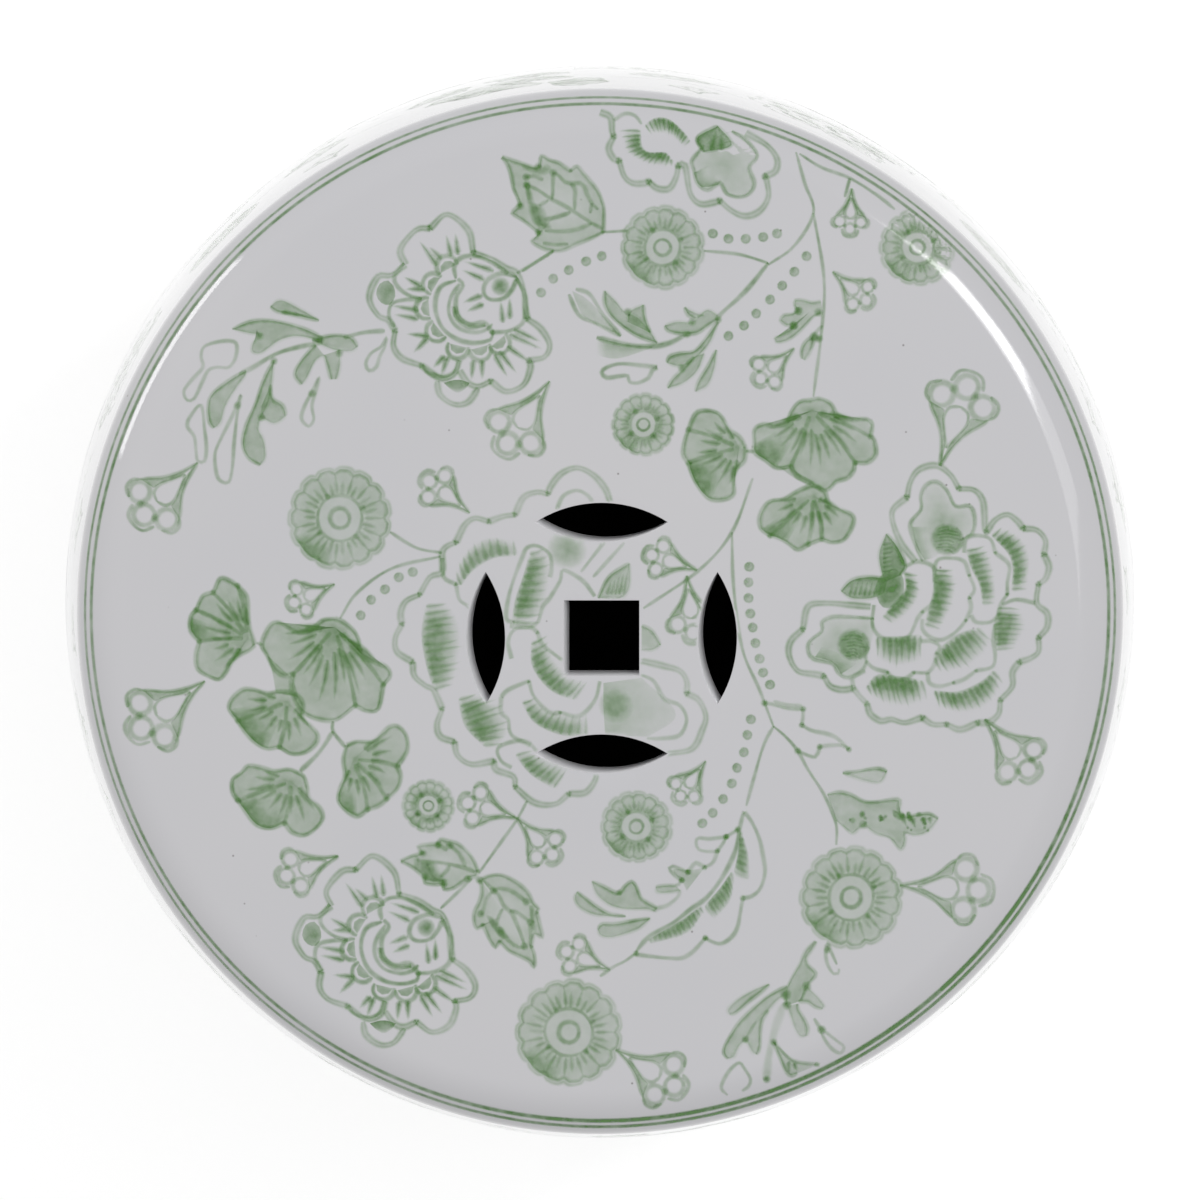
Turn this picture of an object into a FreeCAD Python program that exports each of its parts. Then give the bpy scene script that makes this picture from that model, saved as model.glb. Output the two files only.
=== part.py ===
import FreeCAD, Part
import math
import os
import Sketcher

# A drum-shaped ceramic garden stool with a coin piercing in its seat.
# Millimetres, +Z up. The origin is on the floor, on the axis of the barrel.

doc = FreeCAD.newDocument("garden_stool")

# Driving dimensions, in millimetres unless the note says otherwise.
DIMENSIONS = [
    ("total_height", 457, "floor to the middle of the seat, 18 inches"),
    ("belly_radius", 165, "widest outside radius of the barrel, 13 inches across"),
    ("belly_height", 228, "height of the widest place and of the seam between the halves"),
    ("barrel_curve", 1750, "radius of the template that curves the side from foot to seat"),
    ("wall", 8, "thickness of the thrown wall"),
    ("cap_depth", 28, "seat top down to the seam under the shoulder"),
    ("seat_thickness", 11, "thickness of the seat slab"),
    ("crown", 3, "how far the seat falls from its middle to its edge"),
    ("rim_roll", 15, "radius of the rounded shoulder"),
    ("cove", 9, "radius of the finger-smoothed corner under the seat"),
    ("coin_offset", -7, "the hand-cut coin stands this far off the seat's middle"),
    ("square_side", 22.4, "side of the coin's square hole"),
    ("lens_length", 36.6, "point to point length of a lens hole"),
    ("lens_width", 11.2, "widest part of a lens hole"),
    ("lens_reach", 33.5, "coin centre to lens centre"),
    ("knife_lean_across", 1.6, "sideways lean of the cutting knife through the seat"),
    ("knife_lean_along", 1.3, "lean of the knife towards the seat's far edge"),
    ("side_coin_height", 312, "height of the middle of the two side piercings"),
    ("foot_height", 14, "height of the turned foot ring"),
    ("foot_inset", 2, "step from the wall in to the foot ring"),
    ("foot_width", 22, "width of the foot ring"),
    ("foot_round", 3, "rounding of the foot ring's lower edges"),
    ("coil_height", 16, "height of the clay coil pressed over a seam inside"),
    ("coil_thickness", 4, "how far that coil stands in from the wall"),
    ("foot_coil", 11, "leg of the clay coil in the corner above the foot ring"),
    ("foot_coil_curve", 15, "radius of its hollow face"),
    ("pad_radius", 7, "radius of a rubber floor pad"),
    ("pad_thickness", 2, "thickness of a rubber floor pad"),
    ("pad_count", 4, "number of floor pads, evenly spaced"),
]

sizes = doc.addObject("Spreadsheet::Sheet", "sizes")
for row, (alias, value, note) in enumerate(DIMENSIONS, start=1):
    sizes.set(f"A{row}", alias)
    sizes.set(f"B{row}", str(value))
    sizes.set(f"C{row}", note)
    sizes.setAlias(f"B{row}", alias)
doc.recompute()

# Heights that several pieces share.
SEAT_EDGE = "(sizes.total_height - sizes.crown)"
UNDERSIDE_EDGE = "(sizes.total_height - sizes.crown - sizes.seat_thickness)"
UNDERSIDE_MIDDLE = "(sizes.total_height - sizes.seat_thickness)"
SEAT_SEAM = "(sizes.total_height - sizes.cap_depth)"
BELLY_SEAM = "sizes.belly_height"
FOOT_SEAM = "(sizes.pad_thickness + sizes.foot_height)"
FOOT_BOTTOM = "sizes.pad_thickness"

OUTSIDE_CURVE = "sizes.barrel_curve"
INSIDE_CURVE = "(sizes.barrel_curve - sizes.wall)"
AXIS = "0"


def barrel_radius(height, curve):
    """Distance from the axis to the barrel's outside or inside curve."""
    centre = "sizes.belly_radius - sizes.barrel_curve"
    return f"({centre} + sqrt({curve}^2 - ({height} - sizes.belly_height)^2))"


def dome_radius(reach):
    """Radius of the shallow dome that falls by the crown over a reach."""
    return f"(({reach}^2 + sizes.crown^2) / (2 * sizes.crown))"


def bow_radius(half_length, depth):
    """Radius of an arc from its half chord and its depth."""
    return f"(({half_length}^2 + {depth}^2) / (2 * {depth}))"


def amount(formula):
    """The number that a formula gives now."""
    result = sizes.evalExpression(formula)
    return float(getattr(result, "Value", result))


def new_sketch(body, name, role):
    """A sketch on one of the body's own origin planes."""
    sketch = body.newObject("Sketcher::SketchObject", name)
    plane = [item for item in body.Origin.OriginFeatures if item.Role == role][0]
    sketch.AttachmentSupport = [(plane, "")]
    sketch.MapMode = "FlatFace"
    return sketch


def bind(sketch, constraint, formula):
    """Add a constraint whose value follows a formula."""
    index = sketch.addConstraint(constraint)
    sketch.setExpression(f"Constraints[{index}]", formula)


def pin(sketch, geometry, point, across, up):
    """Hold one end of a line or arc at a place given by two formulas."""
    for kind, axis, formula in (("DistanceX", -2, across), ("DistanceY", -1, up)):
        if formula == AXIS:
            sketch.addConstraint(Sketcher.Constraint("PointOnObject", geometry, point, axis))
        else:
            constraint = Sketcher.Constraint(kind, -1, 1, geometry, point, amount(formula))
            bind(sketch, constraint, formula)


def arc_between(start, end, radius, side):
    """An arc through two points, bulging to the left (1) or right (-1) of the way."""
    chord = end - start
    middle = (start + end) * 0.5
    left = FreeCAD.Vector(-chord.y, chord.x, 0).normalize()
    sink = math.sqrt(radius ** 2 - (chord.Length / 2) ** 2)
    centre = middle - left * (side * sink)
    top = centre + left * (side * radius)
    return Part.Arc(start, top, end)


def outline(sketch, corners, edges):
    """A closed outline: corners are pairs of formulas, and edges lead on from each.

    An edge is None for a straight line, or a radius formula and the side it bulges to.
    """
    places = [FreeCAD.Vector(amount(across), amount(up), 0) for across, up in corners]
    first = sketch.GeometryCount
    count = len(corners)
    ends = []
    for number, edge in enumerate(edges):
        start = places[number]
        end = places[(number + 1) % count]
        if edge is None:
            sketch.addGeometry(Part.LineSegment(start, end), False)
            ends.append((1, 2))
            continue
        radius, side = edge
        sketch.addGeometry(arc_between(start, end, amount(radius), side), False)
        begins = sketch.getPoint(first + number, 1).distanceToPoint(start) < 0.001
        ends.append((1, 2) if begins else (2, 1))
    for number, (across, up) in enumerate(corners):
        following = (number + 1) % count
        joint = (first + number, ends[number][1], first + following, ends[following][0])
        sketch.addConstraint(Sketcher.Constraint("Coincident", *joint))
        pin(sketch, first + number, ends[number][0], across, up)
    for number, edge in enumerate(edges):
        if edge is not None:
            radius = Sketcher.Constraint("Radius", first + number, amount(edge[0]))
            bind(sketch, radius, edge[0])


def turned(name, corners, edges):
    """A round piece, turned about the barrel's axis from its outline."""
    body = doc.addObject("PartDesign::Body", f"{name}_body")
    body.Label = name
    sketch = new_sketch(body, f"{name}_outline", "XZ_Plane")
    outline(sketch, corners, edges)
    doc.recompute()
    turn = body.newObject("PartDesign::Revolution", f"{name}_turn")
    turn.Profile = sketch
    turn.ReferenceAxis = (sketch, ["V_Axis"])
    turn.Angle = 360
    sketch.Visibility = False
    doc.recompute()
    return body


def circle_edge(body, across, up):
    """The name of the round edge at one radius and height."""
    radius = amount(across)
    height = amount(up)
    for number, edge in enumerate(body.Shape.Edges, start=1):
        if edge.Degenerated or not isinstance(edge.Curve, Part.Circle):
            continue
        curve = edge.Curve
        if abs(curve.Radius - radius) < 0.01 and abs(curve.Center.z - height) < 0.01:
            return f"Edge{number}"
    raise ValueError(f"no round edge on {body.Label} at {radius:.1f}, {height:.1f}")


def round_edges(body, name, places, radius):
    """Round the circular edges at some places."""
    edges = [circle_edge(body, across, up) for across, up in places]
    sharp = body.Tip
    fillet = body.newObject("PartDesign::Fillet", name)
    fillet.Base = (sharp, edges)
    fillet.setExpression("Radius", radius)
    doc.recompute()


def coin_outlines(sketch, up):
    """The coin: a square hole and four pointed lenses around it."""
    half = "sizes.square_side / 2"
    square = [
        (f"(-{half})", f"({up} - {half})"),
        (f"({half})", f"({up} - {half})"),
        (f"({half})", f"({up} + {half})"),
        (f"(-{half})", f"({up} + {half})"),
    ]
    outline(sketch, square, [None] * 4)
    tip = "(sizes.lens_length / 2)"
    bow = bow_radius(tip, "(sizes.lens_width / 2)")
    sides = [(bow, -1), (bow, -1)]
    for sign in ("-", ""):
        reach = f"({sign}sizes.lens_reach)"
        lying = [(f"(-{tip})", f"({up} + {reach})"), (tip, f"({up} + {reach})")]
        standing = [(reach, f"({up} - {tip})"), (reach, f"({up} + {tip})")]
        outline(sketch, lying, sides)
        outline(sketch, standing, sides)


def cut_coin(body, sketch, name, symmetric):
    """Cut the coin through the body and prove that it took clay away."""
    before = body.Shape.Volume
    cut = body.newObject("PartDesign::Pocket", name)
    cut.Profile = sketch
    cut.Type = "ThroughAll"
    if symmetric:
        cut.SideType = "Symmetric"
    sketch.Visibility = False
    doc.recompute()
    if body.Shape.Volume > before - 1:
        raise ValueError(f"{name} cut nothing")
    return cut


# Seat cap: a shallow pressed dish, with a domed top, a rolled shoulder and a short skirt.
seat_cap = turned(
    "seat_cap",
    [
        (AXIS, "sizes.total_height"),
        (barrel_radius(SEAT_EDGE, OUTSIDE_CURVE), SEAT_EDGE),
        (barrel_radius(SEAT_SEAM, OUTSIDE_CURVE), SEAT_SEAM),
        (barrel_radius(SEAT_SEAM, INSIDE_CURVE), SEAT_SEAM),
        (barrel_radius(UNDERSIDE_EDGE, INSIDE_CURVE), UNDERSIDE_EDGE),
        (AXIS, UNDERSIDE_MIDDLE),
    ],
    [
        (dome_radius(barrel_radius(SEAT_EDGE, OUTSIDE_CURVE)), 1),
        (OUTSIDE_CURVE, 1),
        None,
        (INSIDE_CURVE, -1),
        (dome_radius(barrel_radius(UNDERSIDE_EDGE, INSIDE_CURVE)), -1),
        None,
    ],
)
round_edges(
    seat_cap,
    "seat_shoulder",
    [(barrel_radius(SEAT_EDGE, OUTSIDE_CURVE), SEAT_EDGE)],
    "sizes.rim_roll",
)
round_edges(
    seat_cap,
    "seat_cove",
    [(barrel_radius(UNDERSIDE_EDGE, INSIDE_CURVE), UNDERSIDE_EDGE)],
    "sizes.cove",
)

# The coin in the seat was cut with a knife that leaned, so its walls lean too.
seat_coin = new_sketch(seat_cap, "seat_coin", "XY_Plane")
seat_coin.setExpression("AttachmentOffset.Base.z", "sizes.total_height")
coin_outlines(seat_coin, "sizes.coin_offset")
doc.recompute()
seat_cut = cut_coin(seat_cap, seat_coin, "seat_coin_cut", False)
seat_cut.UseCustomVector = True
seat_cut.setExpression("Direction.x", "sizes.knife_lean_across / sizes.seat_thickness")
seat_cut.setExpression("Direction.y", "sizes.knife_lean_along / sizes.seat_thickness")
seat_cut.setExpression("Direction.z", "-1")
doc.recompute()

# Upper wall: thrown half of the barrel, with a coin piercing on two sides as hand-holds.
upper_wall = turned(
    "upper_wall",
    [
        (barrel_radius(SEAT_SEAM, OUTSIDE_CURVE), SEAT_SEAM),
        (barrel_radius(BELLY_SEAM, OUTSIDE_CURVE), BELLY_SEAM),
        (barrel_radius(BELLY_SEAM, INSIDE_CURVE), BELLY_SEAM),
        (barrel_radius(SEAT_SEAM, INSIDE_CURVE), SEAT_SEAM),
    ],
    [(OUTSIDE_CURVE, 1), None, (INSIDE_CURVE, -1), None],
)
side_coin = new_sketch(upper_wall, "side_coin", "YZ_Plane")
coin_outlines(side_coin, "sizes.side_coin_height")
doc.recompute()
cut_coin(upper_wall, side_coin, "side_coin_cut", True)

# Lower wall: the other thrown half, joined to the upper one at the belly.
turned(
    "lower_wall",
    [
        (barrel_radius(BELLY_SEAM, OUTSIDE_CURVE), BELLY_SEAM),
        (barrel_radius(FOOT_SEAM, OUTSIDE_CURVE), FOOT_SEAM),
        (barrel_radius(FOOT_SEAM, INSIDE_CURVE), FOOT_SEAM),
        (barrel_radius(BELLY_SEAM, INSIDE_CURVE), BELLY_SEAM),
    ],
    [(OUTSIDE_CURVE, 1), None, (INSIDE_CURVE, -1), None],
)

# Foot ring: a thick turned ring, stepped in a little, that carries the barrel.
FOOT_OUTSIDE = f"({barrel_radius(FOOT_SEAM, OUTSIDE_CURVE)} - sizes.foot_inset)"
FOOT_INSIDE = f"({FOOT_OUTSIDE} - sizes.foot_width)"
foot_ring = turned(
    "foot_ring",
    [
        (FOOT_OUTSIDE, FOOT_SEAM),
        (FOOT_OUTSIDE, FOOT_BOTTOM),
        (FOOT_INSIDE, FOOT_BOTTOM),
        (FOOT_INSIDE, FOOT_SEAM),
    ],
    [None, None, None, None],
)
round_edges(
    foot_ring,
    "foot_rounding",
    [(FOOT_OUTSIDE, FOOT_BOTTOM), (FOOT_INSIDE, FOOT_BOTTOM)],
    "sizes.foot_round",
)

# Seam coils: ropes of soft clay pressed over the seams inside and left half round.
for name, seam in (("seat_seam_coil", SEAT_SEAM), ("belly_seam_coil", BELLY_SEAM)):
    low = f"({seam} - sizes.coil_height / 2)"
    high = f"({seam} + sizes.coil_height / 2)"
    turned(
        name,
        [
            (barrel_radius(high, INSIDE_CURVE), high),
            (barrel_radius(low, INSIDE_CURVE), low),
        ],
        [(INSIDE_CURVE, 1), (bow_radius("(sizes.coil_height / 2)", "sizes.coil_thickness"), 1)],
    )

# Foot coil: the same soft clay, smoothed into the corner above the foot ring.
CORNER = barrel_radius(FOOT_SEAM, INSIDE_CURVE)
COIL_TOP = f"({FOOT_SEAM} + sizes.foot_coil)"
turned(
    "foot_seam_coil",
    [
        (barrel_radius(COIL_TOP, INSIDE_CURVE), COIL_TOP),
        (CORNER, FOOT_SEAM),
        (f"({CORNER} - sizes.foot_coil)", FOOT_SEAM),
    ],
    [(INSIDE_CURVE, 1), None, ("sizes.foot_coil_curve", -1)],
)

# Floor pads: stick-on rubber dots under the middle of the foot ring.
PAD_RADIUS = f"({FOOT_OUTSIDE} - sizes.foot_width / 2)"
pads = []
for number in range(round(amount("sizes.pad_count"))):
    pad = doc.addObject("Part::Cylinder", f"pad_{number + 1}")
    pad.setExpression("Radius", "sizes.pad_radius")
    pad.setExpression("Height", "sizes.pad_thickness")
    turn = f"((0.5 + {number}) * 360deg / sizes.pad_count)"
    pad.setExpression("Placement.Base.x", f"{PAD_RADIUS} * cos({turn})")
    pad.setExpression("Placement.Base.y", f"{PAD_RADIUS} * sin({turn})")
    pads.append(pad)
floor_pads = doc.addObject("Part::Compound", "floor_pads_group")
floor_pads.Label = "floor_pads"
floor_pads.Links = pads
doc.recompute()

# Every feature must have worked, and every piece must be sound, before anything is written.
for item in doc.Objects:
    if "Invalid" in item.State or "Error" in item.State:
        raise ValueError(f"{item.Name} failed: {item.State}")

pieces = [item for item in doc.Objects if item.TypeId == "PartDesign::Body"] + [floor_pads]
for piece in pieces:
    if piece.Shape.isNull() or not piece.Shape.isValid():
        raise ValueError(f"{piece.Label} has no sound shape")

os.makedirs("parts", exist_ok=True)
for piece in pieces:
    piece.Shape.exportStep(f"parts/{piece.Label}.step")
    box = piece.Shape.optimalBoundingBox(False)
    print(piece.Label, len(piece.Shape.Solids), round(piece.Shape.Volume / 1000, 1), "cm3",
          round(box.ZMin, 2), round(box.ZMax, 2), round(box.XMax, 2))
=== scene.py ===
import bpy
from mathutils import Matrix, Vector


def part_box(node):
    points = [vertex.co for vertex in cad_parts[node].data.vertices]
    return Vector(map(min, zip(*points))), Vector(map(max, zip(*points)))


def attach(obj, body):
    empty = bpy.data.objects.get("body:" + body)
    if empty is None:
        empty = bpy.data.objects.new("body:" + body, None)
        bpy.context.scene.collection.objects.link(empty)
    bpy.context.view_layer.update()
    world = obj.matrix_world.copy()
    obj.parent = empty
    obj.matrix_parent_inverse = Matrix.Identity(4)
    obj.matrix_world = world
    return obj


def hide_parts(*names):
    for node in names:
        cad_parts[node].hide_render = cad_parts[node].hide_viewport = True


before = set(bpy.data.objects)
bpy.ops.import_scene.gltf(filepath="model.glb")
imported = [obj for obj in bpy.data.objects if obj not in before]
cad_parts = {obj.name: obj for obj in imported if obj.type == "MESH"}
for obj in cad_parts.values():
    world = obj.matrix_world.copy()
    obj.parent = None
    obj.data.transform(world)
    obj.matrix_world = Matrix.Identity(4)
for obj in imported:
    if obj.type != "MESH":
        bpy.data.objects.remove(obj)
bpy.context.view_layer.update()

import bmesh
import bpy
import math
import random
from mathutils import Vector
from mathutils.geometry import intersect_sphere_sphere_2d

# Seat cap. A pressed dish of white stoneware with a low dome, a rolled shoulder and a short
# skirt, under a clear gloss glaze. A coin was cut through it by hand with a leaning knife.
MM = 0.001
CURVE = 1750 * MM
WALL = 8 * MM
SLAB = 11 * MM
CROWN = 3 * MM
ROLL = 15 * MM
COVE = 9 * MM
GLAZE_INSET = 0.2 * MM
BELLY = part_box("upper_wall")[1].x
BELLY_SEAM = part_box("upper_wall")[0].z
SEAT_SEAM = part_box("upper_wall")[1].z
FOOT_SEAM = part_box("lower_wall")[0].z
SEAT_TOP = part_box("seat_cap")[1].z
ROUND_STEPS = 256
COIN_CENTRE = (0.4 * MM, -7.1 * MM)
SQUARE_SIDE = 21.8 * MM
LENS_LENGTH = 38.2 * MM
LENS_WIDTH = 11.2 * MM
LENS_REACH = 33.4 * MM
KNIFE_LEAN = (1.6 / 11, 1.3 / 11)
CUT_SOFTENING = 0.7 * MM
KNIFE_START = 5 * MM
KNIFE_DEPTH = 30 * MM
COIN_REACH = 70 * MM
STEEP = 0.8
MERGE = 0.001 * MM
CUT_MERGE = 0.005 * MM
SHADING_BREAK = math.radians(50)
SHARP_EDGE = math.radians(35)


def side_radius(height, inset):
    """Distance from the axis to the barrel's side, or to a skin inside it."""
    return BELLY - CURVE + math.sqrt((CURVE - inset) ** 2 - (height - BELLY_SEAM) ** 2)


def rolled_corner(top, fall, inset, dome_inset, roll):
    """The dome, the corner that rolls from it into the side, and the angles between them."""
    edge = side_radius(top - fall, inset)
    dome = (edge ** 2 + fall ** 2) / (2 * fall)
    dome_centre = Vector((0, top - dome))
    side_centre = Vector((BELLY - CURVE, BELLY_SEAM))
    side = CURVE - max(inset, dome_inset)
    dome -= dome_inset
    meeting = intersect_sphere_sphere_2d(dome_centre, dome - roll, side_centre, side - roll)
    centre = max(meeting, key=lambda point: point.x)
    start = math.atan2(centre.y - dome_centre.y, centre.x)
    end = math.atan2(centre.y - side_centre.y, centre.x - side_centre.x)
    return dome_centre, dome, centre, roll, start, end, side_centre, side


def arc(centre, radius, start, end, steps):
    """Points of an arc in the barrel's section."""
    turns = [start + (end - start) * step / steps for step in range(steps + 1)]
    return [(centre.x + radius * math.cos(t), centre.y + radius * math.sin(t)) for t in turns]


def cap_section(corner, bottom, steps):
    """From the axis out over the corner and down to the seam."""
    dome_centre, dome, centre, roll, start, end, side_centre, side = corner
    low = math.asin((bottom - side_centre.y) / side)
    over = arc(dome_centre, dome, math.pi / 2, start, steps[0])
    around = arc(centre, roll, start, end, steps[1])
    down = arc(side_centre, side, end, low, steps[2])
    return over + around[1:] + down[1:]


def wall_section(low, high, inset, steps):
    """A stretch of the barrel's side from its upper to its lower seam."""
    heights = [high + (low - high) * step / steps for step in range(steps + 1)]
    return [(side_radius(height, inset), height) for height in heights]


def turned(name, section):
    """Spin a closed section once round the axis, as on the wheel."""
    bm = bmesh.new()
    verts = [bm.verts.new((radius, 0, height)) for radius, height in section]
    edges = [bm.edges.new(pair) for pair in zip(verts, verts[1:] + verts[:1])]
    bmesh.ops.spin(
        bm, geom=verts + edges, cent=(0, 0, 0), axis=(0, 0, 1), angle=math.tau,
        steps=ROUND_STEPS, use_merge=True, use_duplicate=False)
    bmesh.ops.remove_doubles(bm, verts=bm.verts, dist=MERGE)
    bmesh.ops.recalc_face_normals(bm, faces=bm.faces)
    return made(name, bm)


def made(name, bm):
    """Turn a bmesh into an object at the origin, smooth but for its hard edges."""
    for face in bm.faces:
        face.smooth = True
    for edge in bm.edges:
        edge.smooth = edge.calc_face_angle(0) < SHADING_BREAK
    mesh = bpy.data.meshes.new(name)
    bm.to_mesh(mesh)
    bm.free()
    piece = bpy.data.objects.new(name, mesh)
    bpy.context.scene.collection.objects.link(piece)
    return piece


def coin(centre, height, drop):
    """The knife's five cuts as solids: a square and four lenses, swept along a drop."""
    bm = bmesh.new()
    half = SQUARE_SIDE / 2
    outlines = [[(half, half), (-half, half), (-half, -half), (half, -half)]]
    reach = LENS_LENGTH / 2
    bow = (reach ** 2 + (LENS_WIDTH / 2) ** 2) / LENS_WIDTH
    swing = math.asin(reach / bow)
    bulge = arc(Vector((0, LENS_WIDTH / 2 - bow)), bow, math.pi / 2 - swing, math.pi / 2 + swing, 20)
    lens = bulge + [(-x, -y) for x, y in bulge[1:-1]]
    for x, y in ((0, LENS_REACH), (0, -LENS_REACH)):
        outlines.append([(x + a, y + b) for a, b in lens])
        outlines.append([(y - b, x + a) for a, b in lens])
    for outline in outlines:
        verts = [bm.verts.new((centre[0] + x, centre[1] + y, height)) for x, y in outline]
        face = bm.faces.new(verts)
        swept = bmesh.ops.extrude_face_region(bm, geom=[face])["geom"]
        moved = [item for item in swept if isinstance(item, bmesh.types.BMVert)]
        bmesh.ops.translate(bm, verts=moved, vec=drop)
    bmesh.ops.recalc_face_normals(bm, faces=bm.faces)
    return bm


def cut_through(piece, cuts, near_cut, is_cut):
    """Cut a piece with solids, then soften the edges that the knife left, and give the steep walls of the cut
    the second material, a glaze painted paler to stand for the light falling on them.
    """
    knife = made("knife", cuts)
    change = piece.modifiers.new("cut", "BOOLEAN")
    change.operation = "DIFFERENCE"
    change.solver = "EXACT"
    change.object = knife
    depsgraph = bpy.context.evaluated_depsgraph_get()
    mesh = bpy.data.meshes.new_from_object(piece.evaluated_get(depsgraph))
    piece.modifiers.clear()
    piece.data = mesh
    bpy.data.objects.remove(knife)
    bm = bmesh.new()
    bm.from_mesh(mesh)
    bmesh.ops.remove_doubles(bm, verts=bm.verts, dist=CUT_MERGE)
    sharp = [edge for edge in bm.edges if edge.is_manifold
             and edge.calc_face_angle() > SHARP_EDGE
             and near_cut(edge.verts[0].co) and near_cut(edge.verts[1].co)]
    bmesh.ops.bevel(
        bm, geom=sharp, offset=CUT_SOFTENING, segments=3, profile=0.5, material=-1,
        affect="EDGES", clamp_overlap=True)
    bm.normal_update()
    for face in bm.faces:
        face.smooth = True
        # Painted light: steep faces near the cut get the second slot, a paler glaze that stands in for light
        # on the cut walls.
        face.material_index = int(near_cut(face.calc_center_median()) and is_cut(face.normal))
    bm.to_mesh(mesh)
    bm.free()


def linear(code):
    """An sRGB hex colour as the linear numbers that a shader takes."""
    parts = [int(code[place:place + 2], 16) / 255 for place in (1, 3, 5)]
    return [part / 12.92 if part < 0.04045 else ((part + 0.055) / 1.055) ** 2.4 for part in parts] + [1]


def node(tree, kind, settings=None, links=None):
    """Add a node, set its sockets and properties, and link others into it."""
    new = tree.nodes.new(kind)
    for name, value in (settings or {}).items():
        if isinstance(name, int) or name in new.inputs:
            new.inputs[name].default_value = value
        else:
            setattr(new, name, value)
    for name, source in (links or {}).items():
        tree.links.new(source, new.inputs[name])
    return new


def new_material(name):
    """A material with an empty node tree."""
    material = bpy.data.materials.new(name)
    material.use_nodes = True
    material.node_tree.nodes.clear()
    return material, material.node_tree


GLAZE = "#C5C4C6"
POOLED_GLAZE = "#BFBFC3"
# Painted light: a near-white glaze for the cut walls, lighter than the rest of the glaze as if lit.
PAINTED_LIGHT_CUT_GLAZE = "#F2F2F4"
IRON = "#57504A"
SPECK_SPACING = 12 * MM
SPECK_SIZE = 0.42 * MM
POOL_SIZE = 90 * MM
WAVE_SIZE = 55 * MM
WAVE_HEIGHT = 0.6 * MM
PEEL_SIZE = 3 * MM
PEEL_HEIGHT = 0.02 * MM
GLAZE_GLOSS = {"Roughness": 0.07, "IOR": 1.52}


def glaze_bump(tree, place):
    """Slow waves from the thrower's hands, and a faint orange peel in the glaze."""
    waves = node(tree, "ShaderNodeTexNoise", {"Scale": 1 / WAVE_SIZE, "Detail": 1.5}, {"Vector": place})
    peel = node(tree, "ShaderNodeTexNoise", {"Scale": 1 / PEEL_SIZE, "Detail": 1.0}, {"Vector": place})
    slow = node(
        tree, "ShaderNodeBump", {"Strength": 0.35, "Distance": WAVE_HEIGHT},
        {"Height": waves.outputs["Fac"]})
    return node(
        tree, "ShaderNodeBump", {"Strength": 0.12, "Distance": PEEL_HEIGHT},
        {"Height": peel.outputs["Fac"], "Normal": slow.outputs["Normal"]})


def iron_specks(tree, place):
    """Where iron in the clay burnt through as a tiny dark speck."""
    cells = node(tree, "ShaderNodeTexVoronoi", {"Scale": 1 / SPECK_SPACING}, {"Vector": place})
    size = SPECK_SIZE / SPECK_SPACING
    return node(
        tree, "ShaderNodeMapRange", {"From Min": 0.5 * size, "From Max": size, "To Min": 0.6, "To Max": 0},
        {"Value": cells.outputs["Distance"]})


def glaze_material(name, thin, deep):
    """Clear gloss glaze over white stoneware: cool white, deeper where the glaze pools."""
    material, tree = new_material(name)
    place = node(tree, "ShaderNodeTexCoord").outputs["Object"]
    pools = node(tree, "ShaderNodeTexNoise", {"Scale": 1 / POOL_SIZE, "Detail": 2.0}, {"Vector": place})
    tone = node(tree, "ShaderNodeMix", {"data_type": "RGBA"}, {"Factor": pools.outputs["Fac"]})
    tone.inputs[6].default_value = linear(thin)
    tone.inputs[7].default_value = linear(deep)
    specked = node(
        tree, "ShaderNodeMix", {"data_type": "RGBA"},
        {"Factor": iron_specks(tree, place).outputs["Result"], 6: tone.outputs[2]})
    specked.inputs[7].default_value = linear(IRON)
    bump = glaze_bump(tree, place)
    surface = node(
        tree, "ShaderNodeBsdfPrincipled", GLAZE_GLOSS,
        {"Base Color": specked.outputs[2], "Normal": bump.outputs["Normal"]})
    node(tree, "ShaderNodeOutputMaterial", {}, {"Surface": surface.outputs["BSDF"]})
    return material


glaze = glaze_material("clear_gloss_glaze", GLAZE, POOLED_GLAZE)
# A paler copy of the glaze for the cut walls, painted light rather than a glaze of their own.
cut_glaze_painted_light = glaze_material("glaze_painted_light_on_cut_walls", PAINTED_LIGHT_CUT_GLAZE, PAINTED_LIGHT_CUT_GLAZE)
outer_corner = rolled_corner(SEAT_TOP, CROWN, 0, GLAZE_INSET, ROLL - GLAZE_INSET)
inner_corner = rolled_corner(SEAT_TOP - SLAB, CROWN, WALL, 0, COVE)
outside = cap_section(outer_corner, SEAT_SEAM, (24, 20, 6))
underside = cap_section(inner_corner, SEAT_SEAM, (12, 8, 4))
seat_cap = turned("glazed_seat_cap", outside + underside[::-1])
lean = Vector((KNIFE_LEAN[0], KNIFE_LEAN[1], -1))
first_touch = [COIN_CENTRE[axis] - lean[axis] * KNIFE_START for axis in (0, 1)]
cut_through(
    seat_cap, coin(first_touch, SEAT_TOP + KNIFE_START, lean * KNIFE_DEPTH),
    lambda co: co.xy.length < COIN_REACH, lambda facing: abs(facing.z) < STEEP)
seat_cap.data.materials.append(glaze)
seat_cap.data.materials.append(cut_glaze_painted_light)
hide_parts("seat_cap")
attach(seat_cap, "root")

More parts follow.
